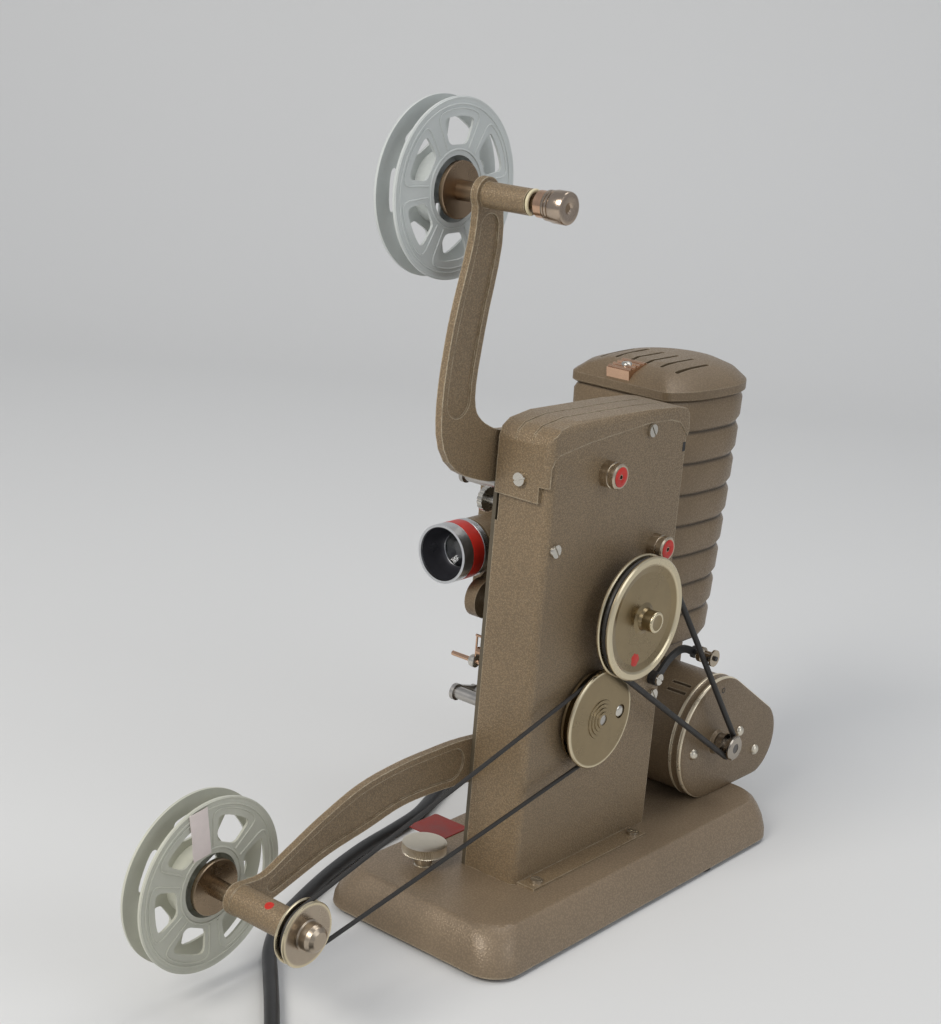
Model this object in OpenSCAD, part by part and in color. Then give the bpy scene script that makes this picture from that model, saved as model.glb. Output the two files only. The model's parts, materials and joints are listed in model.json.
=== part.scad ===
// Small table-top movie projector for 8 mm film, with a supply and a take-up reel.
// +X is the drive side with the pulleys, -Y the side the lens looks to, +Z up.
// The origin is on the table, on the base's centre line, below the main shaft.

/* [Base] */
// Half width of the base casting at the table
base_half_w = 52.5; // [51:0.5:54]
// Front edge of the base, ahead of the origin
base_front = 112.5; // [110:0.5:116]
// Rear edge of the base, behind the origin
base_rear = 117; // [114:0.5:120]
// Height of the base's flat top
base_h = 20.5; // [20.5:0.5:21]
// Wall of the base casting
base_wall = 3; // [2:0.5:3.5]
// Gap under the casting that the rubber feet hold open
foot_h = 2; // [1.5:0.1:2]

/* [Column] */
// Drive face of the column
col_x = 21; // [20.8:0.1:21.2]
// Front face of the column
col_front = -63.9; // [-65:0.1:-63]
// Rear face of the column
col_rear = 38.3; // [38:0.1:39]
// Sheet thickness of the column cover
col_wall = 1.5; // [1.2:0.1:1.6]
// Outer face of the mechanism plate, on the film side
plate_x = -9.7; // [-9.8:0.1:-9.6]
// Inner face of the mechanism plate
plate_in = -7.7; // [-7.8:0.1:-7.65]

/* [Drive] */
// Radius of the main pulley
main_r = 29.4; // [28:0.1:30]
// Radius of the take-up drive pulley
small_r = 23.7; // [22:0.1:24]
// Radius of the take-up pulley on the lower arm
takeup_r = 13.65; // [13:0.05:14]
// Thickness of the main belt
main_belt_d = 3; // [2.5:0.1:3]
// Thickness of the take-up belt
takeup_belt_d = 2; // [1.8:0.1:2.4]
// Play between a belt and the groove that it lies in
belt_gap = 0.15; // [0.1:0.01:0.3]
// Running play of a shaft in its bearing, on the radius
run_gap = 0.05; // [0.02:0.01:0.08]

/* [Film path] */
// Centre of the lens axis from the origin, across the projector
lens_x = -33; // [-33.5:0.1:-32.5]
// Height of the lens axis
lens_z = 165.2; // [164:0.1:166]
// Front rim of the lens
lens_front = -68; // [-70:0.5:-66]
// Radius of the lens hood
lens_r = 13.5; // [13:0.1:14]
// Radius of a film sprocket at the film
sprocket_r = 4.85; // [4.7:0.05:5]

/* [Reels] */
// Radius of a reel flange
reel_r = 38; // [37:0.5:38.5]
// Outer face of the flange nearer the arms
reel_near = -27.2; // [-27.5:0.1:-27]
// Outer face of the flange on the open side
reel_far = -38.6; // [-39:0.1:-38.4]
// Radius of the hub that the film is wound on
hub_r = 15.2; // [14:0.1:16]

/* [Lamp house] */
// Underside of the lamp house
lamp_bottom = 95; // [94:0.5:96]
// Height at which the lift-off cap sits
lamp_top = 225; // [224:0.5:226]
// Depth of the valley between two ribs
rib_depth = 2.2; // [1:0.1:3]
// How much narrower the lamp house is at its foot
lamp_taper = 5; // [0:0.5:6]

/* [Mains cord] */
// Diameter of the cord
cord_d = 6.6; // [6:0.1:6.6]
// Distance between neighbouring turns and layers of the coiled end
coil_pitch = 7.3; // [7.3:0.1:8]
// Radius of the innermost turn of the coil
coil_inner = 24; // [24:0.5:28]

/* [Hidden] */

// Shaft centres, as [Y, Z]
main_c = [-2.6, 140];
shutter_c = [21, 167];
lower_c = [-18.6, 92.6];
upper_c = [-23.6, 208.5];
supply_c = [-84.5, 329];
takeup_c = [-205.4, 50.8];
motor_c = [93, 50];
bell_c = [133.5, 39.5];
carrier_c = [-51, 144.5];
idler_pivot = [31.5, 99];
knob_c = [-21, -78];

// Belts: the line that the middle of each belt follows on its pulleys
main_belt_x = 33.1;
takeup_belt_x = 25.2;
main_groove = 25.4;
motor_groove = 3.9;
small_groove = 18.65;
takeup_groove = 10.2;
function belt_line(groove, d) = groove + belt_gap + d / 2;
main_line = belt_line(main_groove, main_belt_d);
motor_line = belt_line(motor_groove, main_belt_d);
small_line = belt_line(small_groove, takeup_belt_d);
takeup_line = belt_line(takeup_groove, takeup_belt_d);

// Shaft radii
main_shaft_r = 3;
shaft_r = 2.5;
stud_r = 2;
spindle_r = 2.8;

function span(a, b) = norm(b - a);
function bearing_deg(a, b) = atan2(b[1] - a[1], b[0] - a[0]);
function polar(c, r, a) = [c[0] + r * cos(a), c[1] + r * sin(a)];

// Gears, all teeth counted round the whole wheel
n_main = 36;
n_shutter = 24;
m_pair = 2 * span(main_c, shutter_c) / (n_main + n_shutter);
n_pinion = 12;
n_first = 36;
n_second = 15;
n_last = 40;
m_low = 1.05;
m_low_out = 1;
n_up_first = 48;
n_up_last = 45;
m_up = 1.06;
m_up_out = 0.98;

// Where two gear distances from two shafts meet
function meet(a, ra, b, rb, side) =
    let (d = span(a, b), k = (d * d + ra * ra - rb * rb) / (2 * d))
    polar(a, ra, bearing_deg(a, b) + side * acos(k / ra));
low_stud = meet(main_c, m_low * (n_pinion + n_first) / 2,
    lower_c, m_low_out * (n_second + n_last) / 2, 1);
up_stud = meet(shutter_c, m_up * (n_pinion + n_up_first) / 2,
    upper_c, m_up_out * (n_second + n_up_last) / 2, 1);

// Angle of one tooth of the second gear when p is that of a tooth of the first
function in_mesh(p, n1, n2, toward) = toward + 180 + 180 / n2 - (p - toward) * n1 / n2;
pair_deg = bearing_deg(main_c, shutter_c);
shutter_phase = in_mesh(pair_deg, n_main, n_shutter, pair_deg);
low_deg = bearing_deg(main_c, low_stud);
low_phase = in_mesh(low_deg, n_pinion, n_first, low_deg);
low_out_deg = bearing_deg(low_stud, lower_c);
lower_phase = in_mesh(low_out_deg, n_second, n_last, low_out_deg);
up_deg = bearing_deg(shutter_c, up_stud);
up_phase = in_mesh(up_deg, n_pinion, n_up_first, up_deg);
up_out_deg = bearing_deg(up_stud, upper_c);
upper_phase = in_mesh(up_out_deg, n_second, n_up_last, up_out_deg);

// The belt tightener bears on the outside of the belt's upper run
belt_deg = bearing_deg(main_c, motor_c);
belt_open = acos((main_line - motor_line) / span(main_c, motor_c));
belt_top = polar(main_c, main_line, belt_deg + belt_open);
belt_foot = polar(motor_c, motor_line, belt_deg + belt_open);
idler_r = 2.6;
idler_c = polar(belt_top + 0.52 * (belt_foot - belt_top),
    idler_r + main_belt_d / 2 + belt_gap, belt_deg + belt_open);

// Mains cord, from the base to the coiled end outside the picture
coil_c = [107, -235];
coil_in_turns = 2.75;
coil_turns = 2 * coil_in_turns + 0.5;
coil_start_deg = 225;
cord_r = cord_d / 2;
coil_rings = 24;
function coil_radius(t) = coil_inner + coil_pitch * abs(t - coil_in_turns - 0.25);
function coil_height(t) =
    cord_r + coil_pitch * min(1, max(0, (t - coil_in_turns) / 0.5));
function coil_point(t) = [
    coil_c[0] + coil_radius(t) * cos(coil_start_deg + 360 * t),
    coil_c[1] + coil_radius(t) * sin(coil_start_deg + 360 * t),
    coil_height(t)];
plug_lead = 20;
coil_dir = [-sin(coil_start_deg), cos(coil_start_deg), 0];
coil_mid = [for (i = [0 : coil_rings * coil_turns]) coil_point(i / coil_rings)];
coil_path = concat([coil_mid[0] - cord_d * coil_dir], coil_mid,
    [coil_mid[len(coil_mid) - 1] + plug_lead * coil_dir]);
relief_end = [-72, 80, 10];
cord_path = [relief_end, [-84, 78, 8.5], [-95, 70, 5.5], [-101, 57, 3.6],
    [-101, 42, 3.3], [-96, 26, 3.3], [-88, 6, 3.3], [-81, -13, 3.3], [-77, -35, 3.3],
    [-73, -62, 3.3], [-66, -91, 3.3], [-56.5, -120, 3.3], [-47, -143, 3.3],
    [-33, -163, 3.3], [-17.5, -178, 3.3], [-3, -191.5, 3.3], [10.5, -204.5, 3.3],
    [30, -224, 3.3], [50, -243.5, 3.3], coil_path[0]];

// Least gap between turns of the coil that are half a turn or more apart
coil_gap = min([for (i = [0 : len(coil_mid) - 1])
    for (j = [i + coil_rings / 2 : 1 : len(coil_mid) - 1])
        norm(coil_mid[i] - coil_mid[j])]) - cord_d;
echo(coil_gap = coil_gap);
function path_length(p, i = 1) = i == len(p) ? 0 : norm(p[i] - p[i - 1]) + path_length(p, i + 1);
echo(cord_length = path_length(cord_path) + path_length(coil_path));

// ---- shared shapes

// Round bar along X
module rod_x(x0, x1, c, r, fn = 40) {
    translate([x0, c[0], c[1]])
        rotate([0, 90, 0])
            cylinder(h = x1 - x0, r = r, $fn = fn);
}

// Flat outline in Y and Z, pulled along X
module slab_x(x0, x1) {
    translate([x0, 0, 0])
        rotate([90, 0, 90])
            linear_extrude(x1 - x0)
                children();
}

// Turned piece about an axis along X; its outline is [radius, X]
module turned_x(c, outline, fn = 48) {
    translate([0, c[0], c[1]])
        rotate([90, 0, 90])
            rotate_extrude($fn = fn)
                polygon(outline);
}

// Turned piece about the lens axis; its outline is [radius, Y]
module turned_lens(outline, fn = 48) {
    translate([lens_x, 0, lens_z])
        rotate([-90, 0, 0])
            rotate_extrude($fn = fn)
                polygon(outline);
}

module block(x0, x1, y0, y1, z0, z1) {
    translate([x0, y0, z0])
        cube([x1 - x0, y1 - y0, z1 - z0]);
}

// Spur gear between x0 and x1, with one tooth at the angle phase
function gear_points(n, m, phase) =
    [for (i = [0 : n - 1], q = [[-0.25, -1.1], [-0.1, 0.75], [0.1, 0.75], [0.25, -1.1]])
        polar([0, 0], n * m / 2 + q[1] * m, phase + (i + q[0]) * 360 / n)];
module gear_x(x0, x1, c, n, m, phase) {
    slab_x(x0, x1)
        translate(c)
            polygon(gear_points(n, m, phase));
}

// Closed loop over two pulleys in the plane x, in steps of step1 and step2 degrees
function belt_stations(c1, r1, step1, c2, r2, step2) =
    let (toward = bearing_deg(c1, c2), open = acos((r1 - r2) / span(c1, c2)),
        n1 = ceil((360 - 2 * open) / step1), n2 = ceil(2 * open / step2))
    concat(
        [for (i = [0 : n1]) [c1, r1, toward + open + i * (360 - 2 * open) / n1]],
        [for (i = [0 : n2]) [c2, r2, toward - open + i * 2 * open / n2]]);
module belt_x(x, stations, d, sides = 12) {
    n = len(stations);
    points = [for (s = stations, k = [0 : sides - 1])
        let (q = polar(s[0], s[1] + d / 2 * cos(360 * k / sides), s[2]))
        [x + d / 2 * sin(360 * k / sides), q[0], q[1]]];
    polyhedron(points, [for (i = [0 : n - 1], k = [0 : sides - 1], half = [0, 1])
        let (a = i * sides + k, b = i * sides + (k + 1) % sides,
            c = (i + 1) % n * sides + k, e = (i + 1) % n * sides + (k + 1) % sides)
        half == 0 ? [a, c, b] : [c, e, b]], convexity = 8);
}

// Smooth line through points, n steps to a span
function curve_at(p, i, t) =
    let (a = p[max(0, i - 1)], b = p[i], c = p[i + 1], d = p[min(len(p) - 1, i + 2)])
    0.5 * (2 * b + (c - a) * t + (2 * a - 5 * b + 4 * c - d) * t * t
        + (3 * b - a - 3 * c + d) * t * t * t);
function curve(p, n) = concat(
    [for (i = [0 : len(p) - 2], k = [0 : n - 1]) curve_at(p, i, k / n)],
    [p[len(p) - 1]]);

// Band along a line of [Y, Z, half width], with its sides drawn in by inset
function band_side(s, i, inset, side) =
    let (a = s[max(0, i - 1)], b = s[min(len(s) - 1, i + 1)],
        t = [b[0] - a[0], b[1] - a[1]] / norm([b[0] - a[0], b[1] - a[1]]))
    [s[i][0] - side * t[1] * (s[i][2] - inset), s[i][1] + side * t[0] * (s[i][2] - inset)];
module band(s, inset = 0) {
    polygon(concat(
        [for (i = [0 : len(s) - 1]) band_side(s, i, inset, 1)],
        [for (i = [len(s) - 1 : -1 : 0]) band_side(s, i, inset, -1)]));
}

// Tube along a path of points; the first and last rings face their own directions
function unit(v) = v / norm(v);
function path_dir(p, i, first, last) =
    i == 0 ? first : i == len(p) - 1 ? last : unit(p[i + 1] - p[i - 1]);
module tube_along(p, r, sides, first, last) {
    rings = [for (i = [0 : len(p) - 1])
        let (t = path_dir(p, i, first, last), s = unit(cross(t, [0, 0, 1])), u = cross(s, t))
        for (k = [0 : sides - 1])
            p[i] + r * cos(360 * k / sides) * s + r * sin(360 * k / sides) * u];
    n = len(p);
    polyhedron(rings, concat(
        [[for (k = [0 : sides - 1]) k]],
        [for (i = [0 : n - 2], k = [0 : sides - 1])
            [i * sides + k, (i + 1) * sides + k, i * sides + (k + 1) % sides]],
        [for (i = [0 : n - 2], k = [0 : sides - 1])
            [(i + 1) * sides + k, (i + 1) * sides + (k + 1) % sides,
                i * sides + (k + 1) % sides]],
        [[for (k = [sides - 1 : -1 : 0]) (n - 1) * sides + k]]), convexity = 8);
}

// Upright rounded block from levels of [height, inset] over the base's outline
module base_hull(levels, r_corner) {
    hull()
        for (v = levels, sx = [-1, 1], sy = [0, 1])
            translate([
                sx * (base_half_w - v[1] - r_corner),
                sy == 0 ? -base_front + v[1] + r_corner : base_rear - v[2] - r_corner,
                v[0]])
                cylinder(h = 0.02, r = r_corner, $fn = 32);
}

// Screw head with its slot and shank; the head stands on z = 0 of its own frame
module screw(head_r, head_h, shank_r, shank_l, turn = 20) {
    difference() {
        union() {
            cylinder(h = head_h, r = head_r, $fn = 24);
            translate([0, 0, -shank_l])
                cylinder(h = shank_l, r = shank_r, $fn = 16);
        }
        rotate([0, 0, turn])
            translate([-head_r - 1, -0.4, head_h - 0.7])
                cube([2 * head_r + 2, 0.8, 2]);
    }
}
module screw_x(x, c, head_r, head_h, shank_r, shank_l, turn = 20) {
    translate([x, c[0], c[1]])
        rotate([0, 90, 0])
            screw(head_r, head_h, shank_r, shank_l, turn);
}

// ---- base

module base_casting() {
    color("#7a6546")
    difference() {
        base_hull([[foot_h, 0, 0], [6, 0.4, 0], [12, 2.4, 0.3], [16.5, 5.2, 0.8],
            [19.3, 7.6, 1.4], [base_h - 0.02, 9.8, 2.4]], 15);
        base_hull([[foot_h - 1, base_wall, base_wall], [10, base_wall + 2, base_wall],
            [base_h - base_wall, base_wall + 8, base_wall + 2]], 13);
        translate([-60, relief_end[1], relief_end[2]])
            rotate([0, 90, 0])
                cylinder(h = 20, r = relief_r, $fn = 32);
        translate([knob_c[0], knob_c[1], 10])
            cylinder(h = 20, r = knob_shank_r + run_gap, $fn = 28);
        block(switch_at[0] - 2.6, switch_at[0] + 2.6, switch_at[1] - 6, switch_at[1] + 6,
            10, 30);
        translate([6, 0, 10])
            cylinder(h = 20, r = 5, $fn = 24);
        for (c = foot_screws)
            translate([c[0], c[1], 15])
                cylinder(h = 10, r = 1.2, $fn = 16);
    }
    color("#7a6546")
        for (c = plate_bosses)
            translate([c[0], c[1], foot_h + 1.2])
                cylinder(h = base_h - base_wall - foot_h, r = 4, $fn = 24);
}

plate_bosses = [[-34, -88], [34, -88], [-36, 98], [36, 98]];
knob_shank_r = 4.4;
relief_r = 4.4;
switch_at = [-33, -5];
foot_screws = [[26.5, -54], [26.5, 22]];
feet = [[-44.5, 56], [44.5, 56], [-38, -88], [38, -88], [0, 0]];

module base_plate() {
    w = 48.6;
    y0 = -base_front + base_wall + 0.8;
    y1 = base_rear - base_wall - 0.8;
    r = 12;
    color("#4d4a46")
    difference() {
        translate([0, 0, foot_h])
            linear_extrude(1.2) {
                translate([-w + r, y0])
                    square([2 * (w - r), y1 - y0]);
                translate([-w, y0 + r])
                    square([2 * w, y1 - y0 - 2 * r]);
                for (sx = [-1, 1], y = [y0 + r, y1 - r])
                    translate([sx * (w - r), y])
                        circle(r, $fn = 32);
            }
        translate([knob_c[0], knob_c[1], 0])
            cylinder(h = 10, r = knob_shank_r + run_gap, $fn = 28);
        for (y = [-24 : 12 : 24])
            block(-14, 14, y - 1.5, y + 1.5, 0, 10);
    }
}

module rubber_feet() {
    color("#1d1c1b")
    for (c = feet)
        translate([c[0], c[1], 0])
            cylinder(h = foot_h, r = 7, $fn = 28);
}

module tilt_knob() {
    color("#b9b09c")
    translate([knob_c[0], knob_c[1], 0]) {
        difference() {
            rotate_extrude($fn = 36)
                polygon([[0, 24.6], [4.4, 24.6], [8.6, 26.2], [10.6, 27.6], [10.9, 28],
                    [10.9, 31.2], [10.2, 31.8], [6, 32.7], [0, 33]]);
            for (a = [0 : 15 : 345])
                rotate([0, 0, a])
                    translate([11.3, 0, 25])
                        cylinder(h = 6.6, r = 0.8, $fn = 13);
        }
        translate([0, 0, 0.6])
            cylinder(h = 26, r = knob_shank_r, $fn = 28);
    }
}

module switch_body() {
    color("#26221f")
    difference() {
        block(switch_at[0] - 6, switch_at[0] + 6, switch_at[1] - 9, switch_at[1] + 9,
            6, base_h - base_wall);
        block(switch_at[0] - 2.6, switch_at[0] + 2.6, switch_at[1] - 6.2, switch_at[1] + 6.2,
            9, 30);
        rod_x(switch_at[0] - 10, switch_at[0] + 10, [switch_at[1], 14], 1, 16);
    }
}

module switch_lever() {
    color("#c9c5bc") {
        rod_x(switch_at[0] - 6, switch_at[0] + 6, [switch_at[1], 14], 1 - run_gap, 16);
        rod_x(switch_at[0] - 2.4, switch_at[0] + 2.4, [switch_at[1], 14], 2.4, 24);
        translate([switch_at[0], switch_at[1], 14])
            rotate([12, 0, 0])
                cylinder(h = 15, r = 1.6, $fn = 20);
        translate([switch_at[0], switch_at[1], 14])
            rotate([12, 0, 0])
                translate([0, 0, 15])
                    sphere(r = 2.3, $fn = 20);
    }
}

// ---- column

seam = [[-65.9, 207.6], [-64.5, 216.1], [-62.6, 219.8], [-59.8, 221.6], [-38.6, 224.4],
    [-18.7, 225.7], [6.6, 227.5], [24.6, 226.6], [31.5, 224.7], [36.8, 219.3]];
crown = [[-65.9, 200], [-66, 216], [-66, 225.5], [-64.4, 229.6], [-59.7, 232.6],
    [-45.8, 234.5], [-20, 233.9], [6.6, 233.4], [28, 232.2], [36.4, 230.8], [39, 227.4],
    [39.8, 219.3]];
cap_x = col_x + 0.3;
cap_x0 = plate_in;

// Plan outline of the column with its front corner rounded by r
module column_plan(x0, x1, y0, y1, r, z0, z1) {
    translate([0, 0, z0])
        linear_extrude(z1 - z0) {
            translate([x0, y0 + r])
                square([x1 - x0, y1 - y0 - r]);
            translate([x0, y0])
                square([x1 - r - x0, r + 1]);
            translate([x1 - r, y0 + r])
                circle(r, $fn = 32);
        }
}

module column_cover() {
    color("#827351")
    difference() {
        union() {
            intersection() {
                slab_x(plate_in, col_x)
                    polygon(concat([[col_rear, base_h], [col_front, base_h]],
                        [for (p = seam) [max(col_front, p[0]), p[1]]],
                        [[col_rear, 217.8]]));
                column_plan(plate_in, col_x, col_front, col_rear, 4, 20, 230);
            }
            block(col_x - 1, col_x + 9.5, -61, 27, base_h, base_h + 1.2);
        }
        column_plan(plate_in - 1, col_x - col_wall, col_front + col_wall,
            col_rear - col_wall, 2.5, 20, 240);
        block(plate_in - 0.5, plate_in + 1.2, col_front - 1, col_front + 2, 187, 200);
        for (c = [shutter_c, upper_c])
            rod_x(18, 23, c, shaft_r + 0.4);
        rod_x(18, 23, main_c, main_shaft_r + 0.4);
        rod_x(18, 23, lower_c, shaft_r + 0.4);
        for (s = face_screws)
            rod_x(18, 23, s, 1.2, 16);
        rod_x(18, 23, idler_pivot, 1.6, 20);
        for (c = foot_screws)
            translate([c[0], c[1], 19])
                cylinder(h = 10, r = 1.2, $fn = 16);
        translate([tab_screw[0], col_front - 1, tab_screw[1]])
            rotate([-90, 0, 0])
                cylinder(h = 5, r = 1.2, $fn = 16);
    }
}

face_screws = [[8, 224], [-57.5, 178.8], [33.3, 89.6]];
tab_screw = [6, 209];

module top_cap() {
    color("#7b6c4b")
    difference() {
        intersection() {
            slab_x(cap_x0, cap_x)
                polygon(concat(crown, [[36.8, 214], [-50, 195], [-65.9, 195]]));
            column_plan(cap_x0, cap_x, -66, 41, 4, 190, 240);
            translate([0, 50, 0])
                rotate([90, 0, 0])
                    linear_extrude(130) {
                        translate([cap_x0, 190])
                            square([cap_x - cap_x0, 39.4]);
                        translate([cap_x0, 190])
                            square([cap_x - cap_x0 - 5, 44.9]);
                        translate([cap_x - 5, 229.9])
                            circle(5, $fn = 32);
                    }
            union() {
                block(-20, 30, -80, 60, 207.4, 250);
                block(-20, 16, -80, -60, 200, 208);
            }
        }
        slab_x(cap_x0 + 1.5, col_x - col_wall)
            polygon([[-64, 190], [-64, 225], [-58.5, 230.8], [-45.8, 232.7], [-20, 232.1],
                [6.6, 231.6], [28, 230.4], [36, 228.8], [38.4, 225], [38.4, 190]]);
        slab_x(cap_x0 - 1, cap_x + 1)
            polygon(concat([for (p = seam) [max(-64, p[0]), p[1]]],
                [[38.4, 218], [38.4, 190], [-64, 190]]));
        slab_x(cap_x0 - 1, cap_x0 + 1.6)
            polygon([[-64, 190], [-64, 215], [-59, 224], [38.4, 224], [38.4, 190]]);
        for (x = [1, 10])
            slab_x(x, x + 0.9)
                difference() {
                    polygon(crown);
                    translate([0, -0.5])
                        polygon(crown);
                }
        translate([tab_screw[0], -69, tab_screw[1]])
            rotate([-90, 0, 0])
                cylinder(h = 8, r = 1.2, $fn = 16);
    }
}

module cover_screws() {
    color("#a9a59b") {
        for (s = face_screws)
            screw_x(col_x, s, 3, 1.8, 1.2, 5, 35);
        translate([tab_screw[0], -66, tab_screw[1]])
            rotate([90, 0, 0])
                screw(3, 1.8, 1.2, 5);
        screw_x(25.1, idler_pivot, 2.8, 1.2, 1.6, 5.6, 60);
        for (c = foot_screws)
            translate([c[0], c[1], base_h + 1.2])
                screw(2.8, 1.4, 1.2, 4.2);
        for (c = arm_screws)
            translate([arm_x, c[0], c[1]])
                rotate([0, -90, 0])
                    screw(2.8, 1.5, 1.4, 5.5);
    }
}

arm_screws = [[-57, 215], [-43.5, 213.5], [-57, 71.5], [-42, 69.5]];

module mechanism_plate() {
    color("#74664a")
    difference() {
        slab_x(plate_x, plate_in)
            polygon([[col_front, base_h], [col_rear, base_h], [col_rear, 217.8],
                [31.5, 224], [-59, 224], [col_front, 215]]);
        rod_x(plate_x - 1, plate_in + 1, main_c, main_shaft_r + run_gap);
        for (c = [shutter_c, upper_c, lower_c])
            rod_x(plate_x - 1, plate_in + 1, c, shaft_r + run_gap);
        for (s = studs)
            rod_x(plate_x - 1, plate_in + 1, s[0], s[1], 28);
        for (c = arm_screws)
            rod_x(plate_x - 1, plate_in + 1, c, 1.4, 16);
        block(plate_x - 1, plate_in + 1, claw_y - 3, claw_y + 4, claw_z - 5.5, claw_z + 5.5);
    }
}

// Fixed pins of the mechanism plate: [centre, radius, from X, to X]
keeper_up_c = [-46, 197.5];
keeper_low_c = [-40, 90];
framing_c = [-59.2, 193.6];
studs = [
    [low_stud, stud_r, plate_x, 8],
    [up_stud, stud_r, plate_x, 15.6],
    [carrier_c, 2.5, -25, plate_in],
    [framing_c, 1.8, -18.6, plate_in],
    [keeper_up_c, 1.8, -42.2, plate_in],
    [keeper_low_c, 1.8, -42.2, plate_in]];

module fixed_studs() {
    color("#b5b2aa")
    for (s = studs)
        rod_x(s[2], s[3], s[0], s[1], 28);
}

module bearing_caps() {
    color("#b8b4ab")
    difference() {
        union() {
            for (c = [shutter_c, upper_c])
                turned_x(c, [[0, col_x], [6, col_x], [6, 25.2], [5.5, 25.5], [5.5, 26],
                    [6, 26.3], [6, 28.4], [5.4, 29], [0, 29]]);
            rod_x(col_x, 29.4, main_c, 7);
            rod_x(col_x, 21.9, lower_c, 6);
        }
        for (c = [shutter_c, upper_c])
            rod_x(20, 27, c, shaft_r + run_gap);
        for (c = [shutter_c, upper_c])
            rod_x(26, 30, c, 0.9, 16);
        rod_x(20, 30, main_c, main_shaft_r + run_gap);
        rod_x(20, 30, lower_c, shaft_r + run_gap);
    }
}

// ---- arms

arm_x = plate_x - 3.5;
panel_rim = 3.2;

upper_line = curve([[-83.2, 329, 7.4], [-82, 309, 9.4], [-89.5, 274, 10.4],
    [-92.8, 243, 10.6], [-87, 225.5, 12.6], [-70, 216.8, 11.6], [-55, 214.8, 11.6],
    [-38, 213.5, 11]], 4);
lower_line = curve([[-205.4, 50.8, 6.8], [-191, 51, 6.3], [-176.3, 56.2, 7.3],
    [-157, 63.3, 8.8], [-134, 69.4, 10.8], [-111.5, 73.1, 10.2], [-90.5, 73.6, 10.3],
    [-70, 72.7, 10.8], [-36, 69, 10.5]], 4);

// Cast arm with a sunk panel on its drive face, and a long boss at its tip
module arm(line, tip, boss_r, boss_x1, panel) {
    difference() {
        union() {
            slab_x(arm_x, plate_x)
                union() {
                    band(line);
                    translate(tip)
                        circle(line[0][2], $fn = 40);
                }
            rod_x(arm_x, boss_x1, tip, boss_r);
        }
        slab_x(plate_x - 1, plate_x + 1) {
            band([for (i = panel) line[i]], panel_rim);
            for (i = [panel[0], panel[len(panel) - 1]])
                translate([line[i][0], line[i][1]])
                    circle(line[i][2] - panel_rim, $fn = 32);
        }
        rod_x(arm_x - 1, boss_x1 + 1, tip, spindle_r + run_gap);
        for (c = arm_screws)
            rod_x(arm_x - 1, plate_x + 1, c, 1.4, 16);
    }
}

module upper_arm() {
    color("#7f6f4c")
        arm(upper_line, supply_c, 5.5, 13, [for (i = [3 : 12]) i]);
}

module lower_arm() {
    color("#7f6f4c")
        arm(lower_line, takeup_c, 6.5, 20, [for (i = [5 : 27]) i]);
}

// ---- drive

module main_shaft() {
    color("#a8a49a") {
        rod_x(-8.6, 42.4, main_c, main_shaft_r);
        gear_x(-4, -1, main_c, n_main, m_pair, pair_deg);
        gear_x(-1, 3, main_c, n_pinion, m_low, low_deg);
        rod_x(-7.2, -4, [main_c[0], main_c[1] + cam_throw], cam_r);
    }
}

cam_throw = 1.7;
cam_r = 5.2;

module main_pulley() {
    color("#a08f6a")
        turned_x(main_c, [[main_shaft_r, 29.6], [main_r - 0.8, 29.6], [main_r, 30.2],
            [main_r, 30.9], [main_r - 0.5, 31.4], [main_groove, 31.4],
            [main_groove, 34.8], [main_r - 0.5, 34.8], [main_r, 35.3], [main_r, 36],
            [main_r - 0.7, 36.6], [main_r - 3.2, 36.6], [main_r - 4, 36], [22, 35.2],
            [7.6, 35.2], [5.6, 36], [5, 37.4], [5, 42.2], [4.6, 42.6],
            [main_shaft_r, 42.6]], 64);
}

module drive_belt() {
    color("#1c1b1a")
        belt_x(main_belt_x,
            belt_stations(main_c, main_line, 8, motor_c, motor_line, 18), main_belt_d);
}

module shutter_shaft() {
    color("#a8a49a") {
        rod_x(-15.5, 26.5, shutter_c, shaft_r);
        gear_x(-4, -1, shutter_c, n_shutter, m_pair, shutter_phase);
        gear_x(8, 11, shutter_c, n_pinion, m_up, up_deg);
    }
}

// Barrel shutter, open across the light twice in a turn
module shutter_drum() {
    color("#3a3835")
    difference() {
        turned_x(shutter_c, [[shaft_r, -15.5], [6, -15.5], [6, -17.5], [10.2, -17.5],
            [10.2, -46], [11, -46], [11, -14.5], [4, -14.5], [4, -12], [shaft_r, -12]]);
        translate([-43.5, shutter_c[0], shutter_c[1]])
            rotate([shutter_open, 0, 0])
                translate([0, -20, -7])
                    cube([23, 40, 14]);
    }
}

shutter_open = 8;

// Reduction gear running on a fixed stud
module stud_gear(c, x0, x1, x2, n1, m1, phase1, m2, phase2) {
    difference() {
        union() {
            gear_x(x0, x1, c, n1, m1, phase1);
            gear_x(x1, x2, c, n_second, m2, phase2);
        }
        rod_x(x0 - 1, x2 + 1, c, stud_r + run_gap, 28);
    }
}

module lower_gear() {
    color("#b39a55")
        stud_gear(low_stud, 0, 3, 7, n_first, m_low, low_phase, m_low_out, low_out_deg);
}

module upper_gear() {
    color("#b39a55")
        stud_gear(up_stud, 8, 11, 15, n_up_first, m_up, up_phase, m_up_out, up_out_deg);
}

module lower_shaft() {
    color("#a8a49a") {
        rod_x(-40, 29.6, lower_c, shaft_r);
        gear_x(4, 7, lower_c, n_last, m_low_out, lower_phase);
    }
}

module upper_shaft() {
    color("#a8a49a") {
        rod_x(-40, 26.5, upper_c, shaft_r);
        gear_x(12, 15, upper_c, n_up_last, m_up_out, upper_phase);
    }
}

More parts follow.
